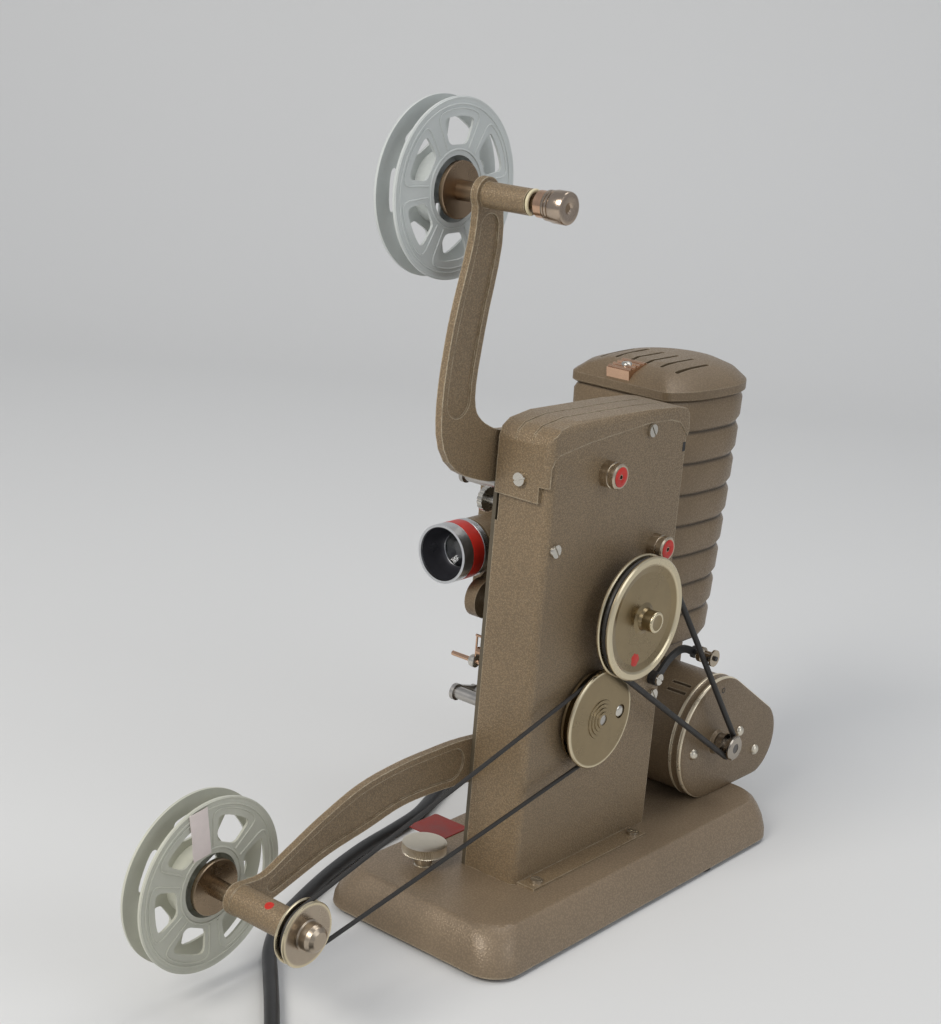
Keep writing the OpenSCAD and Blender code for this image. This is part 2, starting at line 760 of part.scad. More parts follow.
// Sprocket with eight teeth at the edge of the film
module sprocket(c) {
    turned_x(c, [[shaft_r, -38], [6.6, -38], [6.6, -37.2], [sprocket_r, -37],
        [sprocket_r, -35.8], [sprocket_r - 0.7, -35.2], [sprocket_r - 0.7, -31.6],
        [sprocket_r, -31], [sprocket_r, -28.8], [6.6, -28.6], [6.6, -28],
        [4, -28], [4, -25], [shaft_r, -25]], 40);
    for (a = [0 : 45 : 315])
        translate([-30.9, c[0], c[1]])
            rotate([a, 0, 0])
                translate([0, -0.6, shaft_r + 0.6])
                    cube([1.3, 1.2, sprocket_r + 0.3 - shaft_r]);
}

module lower_sprocket() {
    color("#b5b2aa")
        sprocket(lower_c);
}

module upper_sprocket() {
    color("#b5b2aa")
        sprocket(upper_c);
}

// Sprung shoe arm that holds the film on its sprocket
module keeper(pivot, shoe) {
    difference() {
        union() {
            rod_x(-41.4, -39.4, pivot, 4, 28);
            rod_x(-39.4, -20, pivot, 3, 28);
            rod_x(-41.4, -39.4, shoe, 3, 28);
            rod_x(-39.4, -28.2, shoe, 2, 24);
            slab_x(-41.4, -39.4)
                polygon([polar(pivot, 3.4, bearing_deg(pivot, shoe) + 90),
                    polar(pivot, 3.4, bearing_deg(pivot, shoe) - 90),
                    polar(shoe, 2.4, bearing_deg(pivot, shoe) - 90),
                    polar(shoe, 2.4, bearing_deg(pivot, shoe) + 90)]);
        }
        rod_x(-43, -19, pivot, 1.8 + run_gap, 24);
    }
}

module lower_keeper() {
    color("#8f8b82")
        keeper(keeper_low_c, [-26.9, 87.4]);
}

module upper_keeper() {
    color("#8f8b82")
        keeper(keeper_up_c, [-31, 201.6]);
}

module takeup_drive_pulley() {
    color("#9b8a66")
    difference() {
        turned_x(lower_c, [[shaft_r, 22.4], [small_r - 1.6, 22.4], [small_r - 1.6, 23.6],
            [small_groove, 23.8], [small_groove, 26.6], [small_r - 0.4, 26.7],
            [small_r, 27.1], [small_r, 27.9], [small_r - 0.5, 28.4], [9.4, 28.4],
            [9.2, 28.8], [7.6, 28.8], [7.4, 29.2], [5.8, 29.2], [5.6, 29.6], [4, 29.6],
            [3.8, 30], [shaft_r, 30]], 64);
        rod_x(27.2, 29, clutch_screw, 3.4, 24);
    }
}

clutch_screw = [-3.3, 92.6];

module takeup_belt() {
    color("#1c1b1a")
        belt_x(takeup_belt_x,
            belt_stations(lower_c, small_line, 9, takeup_c, takeup_line, 12),
            takeup_belt_d);
}

// ---- film gate and lens

claw_y = -14;
claw_z = 153.4;

module claw() {
    color("#a8a49a")
    difference() {
        union() {
            block(plate_in + run_gap, -4.7, main_c[0] - 10, main_c[0] + 10,
                main_c[1] - 12, main_c[1] + 12);
            block(plate_in + run_gap, -4.7, claw_y - 1.4, claw_y + 3.4,
                main_c[1] - 4, claw_z + 1.2);
            block(-30.8, -4.7, claw_y - 1.4, claw_y + 1.4, claw_z - 1.2, claw_z + 1.2);
            block(-30.8, -29.6, -23.2, claw_y, claw_z - 0.6, claw_z + 0.6);
        }
        block(plate_in - 1, -4, main_c[0] - 7, main_c[0] + 7, main_c[1] - 9,
            main_c[1] + 9);
    }
}

module gate_block() {
    color("#8d8a82")
    difference() {
        block(-44, plate_x, -22, -16, 132, 192);
        block(-37.1, -28.9, -23, -21.8, 130, 194);
        block(lens_x - 2.6, lens_x + 2.6, -23, -15, lens_z - 1.9, lens_z + 1.9);
        translate([lens_x, -15.9, lens_z])
            rotate([90, 0, 0])
                cylinder(h = 4, r = 5.5, $fn = 32);
        block(-31.6, -28.8, -23, -15, claw_z - 4.6, claw_z + 4.6);
    }
}

module lens_carrier() {
    sleeve_r = 13;
    barrel_r = 11;
    color("#8a7756")
    difference() {
        union() {
            slab_x(-24, -18)
                polygon([[-51, 135.5], [-38, 136], [-24.4, 141], [-24.4, 186],
                    [-34, 186], [-47, 170], [-47, 155.5], [-55, 150]]);
            rod_x(-24, -18, carrier_c, 9);
            block(-46, -18, -27.4, -24.4, 140, 190);
            turned_lens([[0, -48], [sleeve_r, -48], [sleeve_r, -27], [0, -27]]);
        }
        turned_lens([[0, -60], [barrel_r + 0.08, -60], [barrel_r + 0.08, -27.4],
            [0, -27.4]]);
        turned_lens([[0, -30], [4.5, -30], [4.5, -20], [0, -20]]);
        rod_x(-30, -10, carrier_c, 2.5 + run_gap, 28);
    }
}

module lens_barrel() {
    color("#aeb0b2")
        turned_lens([[12.3, lens_front], [lens_r, lens_front], [lens_r, -61.5],
            [lens_r - 0.4, -61.2], [lens_r - 0.4, -53.8], [lens_r, -53.4], [lens_r, -50.2],
            [lens_r - 0.6, -49.6], [11, -49.6], [11, -29], [8, -29], [8, -56], [9.4, -57.5]]);
}

module lens_elements() {
    color("#3b4656") {
        turned_lens([[0, -57.4], [4, -57], [8, -55.6], [8, -52.4], [4, -51.4], [0, -51]]);
        turned_lens([[0, -36], [4, -35.6], [8, -34.4], [8, -32.4], [0, -32]]);
    }
}

module framing_wheel() {
    color("#9c937e")
    difference() {
        rod_x(-18, -15.4, framing_c, 5.7, 36);
        for (a = [0 : 20 : 340])
            rod_x(-19, -15, polar(framing_c, 6, a), 0.6, 13);
        rod_x(-19, -9, framing_c, 1.8 + run_gap, 24);
    }
}

// Guide pin, its screw and the spring wire that the film passes below the gate
module film_guide() {
    color("#a58a63") {
        rod_x(-27, plate_x, [-61.5, 118.5], 1.1, 16);
        rod_x(-12.5, plate_x, [-61.5, 123.8], 1.9, 20);
        rod_x(-14, plate_x, [-61.9, 131], 0.6, 16);
        translate([-13.4, -61.9, 131])
            rotate([180, 0, 0])
                cylinder(h = 10, r = 0.5, $fn = 16);
    }
}

// ---- motor

motor_back = -45;
motor_split = 20.5;

// Outline of the motor can, grown by d, flat where it stands on the base
module can_outline(d, floor_z) {
    main_can = [93, 52];
    r1 = 31.3 + d;
    r2 = 19.5 + d;
    toward = bearing_deg(main_can, bell_c);
    open = acos((r1 - r2) / span(main_can, bell_c));
    intersection() {
        polygon(concat(
            [for (i = [0 : 44])
                polar(main_can, r1, toward + open + (360 - 2 * open) * i / 44)],
            [for (i = [0 : 24])
                polar(bell_c, r2, toward - open + 2 * open * i / 24)]));
        translate([50, floor_z])
            square([120, 80]);
    }
}

module motor_can() {
    color("#7d6a4a")
    difference() {
        slab_x(motor_back, motor_split)
            can_outline(0, base_h);
        slab_x(motor_back + 1.5, motor_split + 1)
            can_outline(-1.3, base_h + 1.3);
        rod_x(motor_back - 1, motor_back + 2, motor_c, shaft_r + run_gap);
        block(-42, -30, 82, 104, 60, 95);
        for (y = [74, 78.5])
            block(4, 15, y, y + 1.5, 70, 95);
        for (a = [30 : 60 : 330])
            rod_x(motor_back - 1, motor_back + 2, polar(motor_c, 15, a), 3, 20);
    }
}

module motor_end_bell() {
    color("#85714e")
    difference() {
        union() {
            slab_x(motor_split, 24)
                can_outline(0.5, base_h);
            slab_x(24, 24.7)
                can_outline(-0.1, base_h);
            slab_x(24.7, 25.2)
                can_outline(-0.9, base_h);
            rod_x(25.2, 27, motor_c, 6);
        }
        slab_x(motor_split - 1, 23.7)
            can_outline(-1.3, base_h + 1.3);
        rod_x(20, 30, motor_c, shaft_r + run_gap);
        rod_x(20, 30, [94.3, 77.6], 1, 16);
        for (c = bell_screws)
            rod_x(20, 30, c, 1.4, 16);
    }
    color("#b8b4ab")
        for (c = bell_screws)
            rod_x(22, 26.8, c, 1.4, 16);
    color("#b8b4ab")
        for (c = bell_screws)
            turned_x(c, [[0, 25.2], [2.6, 25.2], [2.2, 26.4], [1.2, 27], [0, 27.1]], 24);
}

bell_screws = [[115.5, 49.8], [72.1, 48.6], [133.4, 34.6]];

module stator() {
    color("#6d6a66")
    difference() {
        union() {
            rod_x(-20, 8, motor_c, 27, 56);
            slab_x(-20, 8)
                intersection() {
                    can_outline(-1.3, base_h + 1.3);
                    translate([motor_c[0] - 14, base_h])
                        square([28, 20]);
                }
        }
        rod_x(-21, 9, motor_c, 17, 48);
    }
}

module armature() {
    color("#8c8780") {
        rod_x(motor_back - 1, 36.8, motor_c, shaft_r);
        rod_x(-18, 6, motor_c, 16, 40);
        rod_x(-42, -41, motor_c, 24, 48);
        for (a = [0 : 30 : 330])
            translate([-41, motor_c[0], motor_c[1]])
                rotate([a, 0, 0])
                    translate([0, -0.5, 11])
                        cube([9, 1, 12]);
        rod_x(-41, -30, motor_c, 6, 28);
    }
}

module motor_pulley() {
    color("#b8b0a0")
        turned_x(motor_c, [[shaft_r, 27.6], [5.4, 27.6], [5.4, 29.8], [6, 30.2],
            [6, 31.2], [motor_groove, 31.4], [motor_groove, 34.8], [6.2, 35], [6.4, 35.4],
            [6.4, 36.4], [5.8, 37], [shaft_r, 37]], 40);
}

module idler_arm() {
    color("#232220")
    difference() {
        union() {
            rod_x(21.1, 25, idler_pivot, 3.4, 28);
            rod_x(23.4, 25, idler_c, 3, 24);
            slab_x(23.4, 25)
                band(curve([
                    [idler_pivot[0], idler_pivot[1], 2.4],
                    [idler_pivot[0] + 9, idler_pivot[1] + 7.5, 1.9],
                    [idler_pivot[0] + 20, idler_pivot[1] + 10.5, 1.8],
                    [idler_c[0], idler_c[1], 2]], 5));
            rod_x(25, 37.2, idler_c, 1.2, 20);
        }
        rod_x(20, 26, idler_pivot, 1.6 + run_gap, 20);
    }
}

module idler_roller() {
    color("#b98a5c")
    difference() {
        turned_x(idler_c, [[0.6, 27.2], [3.6, 27.2], [3.8, 27.6], [3.8, 29.6], [3.4, 30],
            [idler_r, 30.6], [idler_r, 34.9], [4.2, 35.2], [4.2, 36.2], [0.6, 36.2]], 32);
        rod_x(26, 40, idler_c, 1.2 + run_gap, 20);
    }
}

// ---- lamp house

// Plan of the lamp house: flat front, bulged sides and a round rear
lamp_front = 58.5;
lamp_rear_c = [-33.5, 105];
lamp_rear_r = 37;
lamp_half = concat(
    [[23.6, lamp_front], [26.2, 58.8], [28.2, 59.9], [29.6, 61.8], [31, 64.8], [32.6, 68.4],
        [34, 72.4], [35.2, 77], [36.1, 82.4], [36.7, 88.4], [36.95, 96.5]],
    [for (a = [0 : 7.5 : 91]) [lamp_rear_r * cos(a), lamp_rear_c[1] + lamp_rear_r * sin(a)]]);
lamp_plan = concat(
    [for (p = lamp_half) [lamp_rear_c[0] + p[0], p[1]]],
    [for (i = [len(lamp_half) - 2 : -1 : 0]) [lamp_rear_c[0] - lamp_half[i][0], lamp_half[i][1]]]);

// The plan drawn in by d; the flat front moves in as the sides do
function drawn_in(p, d) =
    let (c = [lamp_rear_c[0], 98], v = [p[0] - c[0], p[1] - c[1]])
    [c[0] + v[0] * (1 - d / 37), c[1] + v[1] * (1 - d / (v[1] < 0 ? 39.5 : 44))];

// Solid through plan outlines, from levels of [height, drawn in by]
module loft(levels) {
    n = len(lamp_plan);
    m = len(levels);
    points = [for (v = levels, p = lamp_plan) let (q = drawn_in(p, v[1])) [q[0], q[1], v[0]]];
    polyhedron(points, concat(
        [[for (k = [0 : n - 1]) k]],
        [for (i = [0 : m - 2], k = [0 : n - 1])
            [i * n + k, (i + 1) * n + (k + 1) % n, i * n + (k + 1) % n]],
        [for (i = [0 : m - 2], k = [0 : n - 1])
            [i * n + k, (i + 1) * n + k, (i + 1) * n + (k + 1) % n]],
        [[for (k = [n - 1 : -1 : 0]) (m - 1) * n + k]]), convexity = 10);
}

ribs = 8;
rib_pitch = (lamp_top - lamp_bottom) / ribs;
function taper_at(z) = lamp_taper * pow((lamp_top - z) / (lamp_top - lamp_bottom), 1.3);
rib_levels = concat(
    [for (i = [0 : ribs - 1], t = [0, 0.22, 0.78])
        let (z = lamp_bottom + (i + t) * rib_pitch)
        [z, taper_at(z) + (t == 0 ? rib_depth : 0.35)]],
    [[lamp_top, rib_depth]]);

module lamp_house() {
    skin = rib_depth + 1.4;
    color("#7b6a4e")
    difference() {
        loft(rib_levels);
        loft([[lamp_bottom + 1.6, lamp_taper + skin], [lamp_top + 1, skin]]);
        translate([lens_x, 50, lens_z])
            rotate([-90, 0, 0])
                cylinder(h = 20, r = condenser_r, $fn = 40);
        block(-42, -18, 76, 114, 90, 100);
    }
}

module lamp_cap() {
    color("#7b6a4e")
    difference() {
        loft([[lamp_top + 0.1, 0.6], [lamp_top + 1, -0.6], [lamp_top + 5, -0.6],
            [lamp_top + 5.8, 0.4], [lamp_top + 9.6, 5], [lamp_top + 12.6, 13],
            [lamp_top + 14.2, 22]]);
        loft([[lamp_top - 1, 2.4], [lamp_top + 4.6, 2.4], [lamp_top + 8, 7],
            [lamp_top + 10.8, 14], [lamp_top + 12.4, 22]]);
        for (i = [0 : 5])
            translate([-56.5 + 9 * i, 0, lamp_top + 4]) {
                translate([-1, 75, 0])
                    cube([2, 27, 16]);
                translate([0, 75, 0])
                    cylinder(h = 16, r = 1, $fn = 16);
                translate([0, 102, 0])
                    cylinder(h = 16, r = 1, $fn = 16);
            }
    }
}

// Corrugated copper clip on the cap, with its screw
module cap_clip() {
    color("#b0714a") {
        difference() {
            translate([-43.5, 67, lamp_top + 9.4])
                rotate([9, 0, 0]) {
                    block(1.6, 15, -8, 7.5, -5, 2.8);
                    for (i = [0 : 3])
                        rod_x(1.6, 15, [-5.8 + 3.8 * i, 2.7], 1, 16);
                }
            loft([[lamp_top + 0.1, 0.6], [lamp_top + 1, -0.6], [lamp_top + 5, -0.6],
                [lamp_top + 5.8, 0.4], [lamp_top + 9.6, 5], [lamp_top + 12.6, 13],
                [lamp_top + 14.2, 22]]);
        }
    }
}

// Duct that leads the fan's air from the motor can to the lamp
module air_duct() {
    color("#5d5038")
    difference() {
        block(-44, -16, 73, 117, 55, lamp_bottom);
        block(-42.4, -17.6, 74.6, 115.4, 50, lamp_bottom + 1);
        slab_x(motor_back - 1, motor_split)
            can_outline(0, base_h);
    }
}

module lamp_socket() {
    color("#c9bfa8")
    difference() {
        union() {
            block(-58, -9, 90, 96, lamp_bottom + 1.6, lamp_bottom + 3.2);
            translate([-33.5, 93, lamp_bottom + 1.6])
                cylinder(h = 30, r = 12, $fn = 36);
        }
        translate([-33.5, 93, lamp_bottom + 20])
            cylinder(h = 20, r = 10.2, $fn = 36);
    }
}

module lamp_bulb() {
    color("#dfe3e6")
    translate([-33.5, 93, 0])
        rotate_extrude($fn = 40)
            polygon([[0, lamp_bottom + 20], [10.2, lamp_bottom + 20],
                [10.2, lamp_bottom + 34], [12, lamp_bottom + 38], [12.5, lamp_bottom + 44],
                [12.5, 200], [11, 206], [7, 210.4], [0, 212]]);
}

condenser_r = 13;

// Condenser tube with its two lenses, which light the gate
module condenser() {
    color("#6b6862")
        turned_lens([[11.5, 33.5], [condenser_r, 33.5], [condenser_r, 65], [11.5, 65]]);
    color("#c9d4da") {
        turned_lens([[0, 36], [6, 37], [11.5, 40], [11.5, 42.5], [0, 42.5]]);
        turned_lens([[0, 48], [11.5, 48], [11.5, 50.5], [6, 53.5], [0, 54.5]]);
    }
}

// ---- spindles and reels

module supply_spindle() {
    color("#a79a80") {
        rod_x(-44.5, 31, supply_c, spindle_r);
        turned_x(supply_c, [[0, -26.3], [12.2, -26.3], [12.2, -24.6], [11.8, -24.3],
            [4.4, -24.3], [4.2, -13.3], [0, -13.3]]);
    }
}

module supply_collar() {
    color("#b0764e")
        turned_x(supply_c, [[spindle_r, 13.3], [5, 13.3], [5.6, 13.8], [5.6, 14.8],
            [4.6, 15.2], [4.6, 17], [5.6, 17.2], [5.6, 21.6], [6.2, 22], [6.2, 23],
            [5.9, 23.4], [6.4, 23.8], [6.4, 24.8], [6.1, 25.2], [6.8, 25.6], [6.8, 31.6],
            [6.3, 32], [3.2, 32], [2.2, 31.2], [0, 31], [0, 31], [spindle_r, 31]]);
}

// Half outline of one window of a reel, from its inner edge to its middle line
reel_window = [[18.3, -3.6], [18.8, -5.2], [20, -6.3], [21.4, -6.9], [26.2, -8.8],
    [27.6, -9.1], [28.8, -8.5], [29.4, -7.2], [29.9, -3.8], [30, 0]];

// Reel: two pressed flanges on an open hub with three drive slots
module reel_flange(c, x0, x1, lip, turn) {
    slab_x(x0, x1)
        difference() {
            translate(c)
                circle(reel_r, $fn = 64);
            translate(c)
                circle(hub_r - 1.2, $fn = 48);
            for (i = [0 : 5])
                translate(c)
                    rotate(turn + 60 * i)
                        polygon(concat(reel_window, [for (k = [len(reel_window) - 2 : -1 : 0])
                            [reel_window[k][0], -reel_window[k][1]]]));
        }
    turned_x(c, [[reel_r - 1.4, x0], [reel_r - 0.4, x0 - max(0, -lip)],
        [reel_r, x0 + 0.3], [reel_r, x1 - 0.3], [reel_r - 0.4, x1 + max(0, lip)],
        [reel_r - 1.4, x1]], 64);
}

module reel(c, turn) {
    difference() {
        union() {
            reel_flange(c, reel_far, reel_far + 1.2, -0.3, turn + 30);
            reel_flange(c, reel_near - 1.2, reel_near, 0.3, turn);
            turned_x(c, [[hub_r - 1.2, reel_far], [hub_r, reel_far + 1.2],
                [hub_r, reel_near - 1.2], [hub_r - 1.2, reel_near]]);
            rod_x(reel_far + 1, reel_far + 2.4, c, hub_r, 48);
            rod_x(reel_far + 1, reel_near - 1.4, c, 5.2, 32);
        }
        rod_x(reel_far - 1, reel_near + 1, c, spindle_r + run_gap);
        for (a = [30 : 120 : 270])
            translate([0, c[0], c[1]])
                rotate([a, 0, 0])
                    block(reel_far, reel_far + 3, 7, 12.5, -1.6, 1.6);
    }
}

module supply_reel() {
    color("#98a2a0")
        reel(supply_c, 32);
}

module takeup_reel() {
    color("#a3a99c")
        reel(takeup_c, 7);
}

module takeup_spindle() {
    color("#a08458") {
        rod_x(-44.5, 30, takeup_c, spindle_r);
        turned_x(takeup_c, [[0, -26.3], [12.2, -26.3], [12.2, -24.6], [11.8, -24.3],
            [4, -24.3], [3.8, -13.3], [0, -13.3]]);
    }
}

module takeup_pulley() {
    color("#a59c86")
        turned_x(takeup_c, [[spindle_r, 22.4], [12.9, 22.4], [takeup_r, 23],
            [takeup_r, 23.5], [13.2, 23.8], [takeup_groove, 23.8], [takeup_groove, 26.6],
            [13.2, 26.6], [takeup_r, 26.9], [takeup_r, 27.5], [13.2, 28], [11.8, 28],
            [7.2, 27.2], [6.6, 27.2], [6.6, 28], [5.9, 28.4], [5.9, 31.6], [5.2, 33.4],
            [3.6, 34.6], [0, 35], [0, 30], [spindle_r, 30]]);
}

// ---- mains cord

module strain_relief() {
    color("#1f1e1d")
        translate([relief_end[0], relief_end[1], relief_end[2]])
            rotate([90, 0, 90])
                rotate_extrude($fn = 32)
                    polygon([[0, 0], [cord_r, 0], [cord_r + 0.6, 1], [cord_r + 0.9, 16],
                        [relief_r, 19], [relief_r, 29.6], [5.2, 29.6], [5.2, 31.4],
                        [0, 31.4]]);
}

module power_cord() {
    color("#2a2a2b")
        tube_along(curve(cord_path, 2), cord_r, 10, [-1, 0, 0], coil_dir);
}

module cord_coil() {
    color("#2a2a2b")
        tube_along(coil_path, cord_r, 6, coil_dir, coil_dir);
}

// Round two-pin plug at the end of the coil
module mains_plug() {
    tip = coil_path[len(coil_path) - 1];
    color("#232220")
    translate(tip)
        rotate([0, 0, coil_start_deg + 90])
            rotate([0, 90, 0]) {
                cylinder(h = 14, r1 = cord_r, r2 = 5.4, $fn = 32);
                translate([0, 0, 14])
                    cylinder(h = 26, r = 10.4, $fn = 32);
            }
    color("#b9b6ae")
    translate(tip)
        rotate([0, 0, coil_start_deg + 90])
            for (sy = [-1, 1])
                translate([40, 6.4 * sy, 0])
                    rotate([0, 90, 0])
                        cylinder(h = 18, r = 2, $fn = 20);
}

base_casting();
base_plate();
rubber_feet();
mechanism_plate();
fixed_studs();
column_cover();
top_cap();
cover_screws();
bearing_caps();
upper_arm();
lower_arm();
main_shaft();
main_pulley();
drive_belt();
shutter_shaft();
shutter_drum();
lower_gear();
lower_shaft();
lower_sprocket();
takeup_drive_pulley();
takeup_belt();
upper_gear();
upper_shaft();
upper_sprocket();
lower_keeper();
upper_keeper();
claw();
gate_block();
lens_carrier();
lens_barrel();
lens_elements();
framing_wheel();
film_guide();
motor_can();
motor_end_bell();
stator();
armature();
motor_pulley();
idler_arm();
idler_roller();
lamp_house();
lamp_cap();
cap_clip();
air_duct();
lamp_socket();
lamp_bulb();
condenser();
supply_spindle();
supply_collar();
supply_reel();
takeup_spindle();
takeup_pulley();
takeup_reel();
tilt_knob();
switch_body();
switch_lever();
strain_relief();
power_cord();
cord_coil();
mains_plug();
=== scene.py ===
"""Dressing of a small film projector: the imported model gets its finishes, its cord and its trim.

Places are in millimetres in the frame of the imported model, and MM takes them to metres; only
the stage's are in metres. +X is the pulley side, -Y the way the lens looks and +Z up, with the
origin on the table.
"""
import json
from math import acos, atan2, cos, degrees, hypot, pi, radians, sin

import bmesh
import bpy
from mathutils import Matrix, Vector

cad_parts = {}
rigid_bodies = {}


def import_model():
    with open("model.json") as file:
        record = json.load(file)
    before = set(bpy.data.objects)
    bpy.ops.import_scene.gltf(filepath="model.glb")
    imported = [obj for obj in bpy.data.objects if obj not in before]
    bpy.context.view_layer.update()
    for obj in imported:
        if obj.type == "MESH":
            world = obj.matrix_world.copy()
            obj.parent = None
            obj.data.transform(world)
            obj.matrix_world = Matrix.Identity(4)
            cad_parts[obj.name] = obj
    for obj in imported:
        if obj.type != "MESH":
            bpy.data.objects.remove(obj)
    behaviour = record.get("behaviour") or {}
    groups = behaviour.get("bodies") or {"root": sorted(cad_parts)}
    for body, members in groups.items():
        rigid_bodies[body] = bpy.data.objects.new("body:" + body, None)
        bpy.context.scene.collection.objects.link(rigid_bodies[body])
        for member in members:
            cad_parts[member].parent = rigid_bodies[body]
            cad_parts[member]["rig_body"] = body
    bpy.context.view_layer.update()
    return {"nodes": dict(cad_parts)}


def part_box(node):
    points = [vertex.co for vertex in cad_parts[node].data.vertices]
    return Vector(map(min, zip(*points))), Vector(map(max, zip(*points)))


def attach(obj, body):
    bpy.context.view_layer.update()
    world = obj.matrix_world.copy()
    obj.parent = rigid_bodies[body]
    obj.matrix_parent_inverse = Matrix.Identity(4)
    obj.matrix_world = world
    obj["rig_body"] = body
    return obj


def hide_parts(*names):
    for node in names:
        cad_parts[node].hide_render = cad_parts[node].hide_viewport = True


bl_info = {
    "name": "Film projector dressing",
    "version": (1, 0, 0),
    "blender": (4, 5, 0),
    "location": "View3D > Sidebar > Projector",
    "description": "Finishes, cord and trim of a table-top film projector",
    "category": "Object",
}

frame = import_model()
MM = 0.001
WELD = 0.00001  # metres within which points are one

# ---- places shared with the model, in millimetres

MAIN_SHAFT = (-2.6, 140)
SHUTTER_SHAFT = (21, 167)
LOWER_SHAFT = (-18.6, 92.6)
UPPER_SHAFT = (-23.6, 208.5)
SUPPLY_SPINDLE = (-84.5, 329)
TAKEUP_SPINDLE = (-205.4, 50.8)
MOTOR_SHAFT = (93, 50)
TILT_SCREW = (-21, -78)


# ---- properties

def colour_property(name, description, value):
    return bpy.props.FloatVectorProperty(
        name=name, description=description, subtype="COLOR", size=3, default=value, min=0, max=1)


def number_property(name, description, value, least, **more):
    return bpy.props.FloatProperty(
        name=name, description=description, default=value, min=least, **more)


class ProjectorFinish(bpy.types.PropertyGroup):
    """Colours of the projector's finishes."""
    enamel: colour_property(
        "Column enamel", "Hammered enamel of the column and arms", (0.288, 0.203, 0.113))
    enamel_low: colour_property(
        "Enamel hollows", "The same enamel where it lies thin", (0.2, 0.142, 0.082))
    satin: colour_property(
        "Base enamel", "Smoother enamel of the base, lamp house and motor", (0.285, 0.21, 0.134))
    # Pale colour mixed in along the edges: paint worn thin there, and also a painted highlight on
    # the edges.
    worn_and_highlit: colour_property("Worn edge", "Paint thinned along the edges", (0.66, 0.57, 0.42))
    reel: colour_property("Reel grey", "Moulding of the supply reel", (0.555, 0.58, 0.56))
    reel_aged: colour_property(
        "Yellowed reel", "Moulding of the take-up reel", (0.55, 0.55, 0.462))
    # Pulley faces get a dark colour and the rims a bright one. The rims are partly metal polished
    # by use; the pair also paints a dark reflection on the faces and a highlight on the rims.
    pulley: colour_property("Pulley", "Turned faces of the pulleys", (0.29, 0.225, 0.13))
    rim: colour_property("Pulley rim", "Rims that the belts polish", (0.68, 0.59, 0.41))
    nickel: colour_property("Nickel", "Plated knobs and screws", (0.6, 0.57, 0.51))
    copper: colour_property("Copper", "Clip and bushes", (0.62, 0.4, 0.27))
    paint: colour_property("Red paint", "Oiling marks and the lens's ring", (0.52, 0.022, 0.012))
    cord: colour_property("Cord", "Sheath of the mains cord", (0.018, 0.018, 0.019))


class ProjectorSizes(bpy.types.PropertyGroup):
    """Sizes of the pieces that a user may want to change."""
    cord_width: number_property(
        "Cord width", "Diameter of the mains cord", 0.0066, 0.005, max=0.008, unit="LENGTH")
    mark_radius: number_property(
        "Oiling mark", "Radius of the red mark on the main pulley", 0.0032, 0.001, max=0.005,
        unit="LENGTH")


class ProjectorStage(bpy.types.PropertyGroup):
    """Camera, floor and light."""
    focal_length: number_property(
        "Focal length", "Lens of the camera in millimetres", 66.36, 20, max=200)
    floor: colour_property("Floor", "Plain pale floor", (0.72, 0.72, 0.71))
    key_power: number_property("Key light", "Power of the large light", 20, 0, unit="POWER")
    fill_power: number_property("Fill light", "Power of the light opposite", 5, 0, unit="POWER")


# ---- shader groups

PAINT = (0.2, 0.15, 0.08, 1)
FLECK = (0.42, 0.34, 0.22, 1)


def new_group(name, inputs, outputs):
    """Starts a group whose inputs are numbers or colours, as their defaults are."""
    tree = bpy.data.node_groups.new(name, "ShaderNodeTree")
    for label, value in inputs.items():
        kind = "NodeSocketFloat" if isinstance(value, float) else "NodeSocketColor"
        tree.interface.new_socket(label, in_out="INPUT", socket_type=kind).default_value = value
    for label in outputs:
        kind = "NodeSocketColor" if label == "Colour" else "NodeSocketFloat"
        tree.interface.new_socket(label, in_out="OUTPUT", socket_type=kind)
    return tree, tree.nodes.new("NodeGroupInput").outputs, tree.nodes.new("NodeGroupOutput")


def feed(tree, node, values):
    """Links inputs of a node to sockets, or sets them to values."""
    for key, value in values.items():
        entry = node.inputs[key.replace("_", " ") if isinstance(key, str) else key]
        if isinstance(value, bpy.types.NodeSocket):
            tree.links.new(value, entry)
        else:
            entry.default_value = value


def add_node(tree, kind, settings=None, **values):
    made = tree.nodes.new(kind)
    for key, value in (settings or {}).items():
        setattr(made, key, value)
    feed(tree, made, values)
    return made


def own_place(tree):
    return add_node(tree, "ShaderNodeTexCoord").outputs["Object"]


def noise(tree, place, scale, detail=2, roughness=0.5):
    return add_node(tree, "ShaderNodeTexNoise", Vector=place, Scale=scale, Detail=detail,
                    Roughness=roughness).outputs["Fac"]


def ramp(tree, source, low, high, out_low=0, out_high=1):
    return add_node(tree, "ShaderNodeMapRange", Value=source, From_Min=low, From_Max=high,
                    To_Min=out_low, To_Max=out_high).outputs["Result"]


def mix_colour(tree, factor, first, second, blend="MIX"):
    made = add_node(tree, "ShaderNodeMix", {"data_type": "RGBA", "blend_type": blend})
    feed(tree, made, {0: factor, 6: first, 7: second})
    return made.outputs[2]


def maths(tree, operation, first, second=0):
    made = add_node(tree, "ShaderNodeMath", {"operation": operation})
    feed(tree, made, {0: first, 1: second})
    return made.outputs[0]


def shaded(tree, colour, level):
    """A colour made darker or lighter by a level."""
    tone = add_node(tree, "ShaderNodeCombineColor")
    feed(tree, tone, dict.fromkeys(range(3), level))
    return mix_colour(tree, 1, colour, tone.outputs[0], "MULTIPLY")


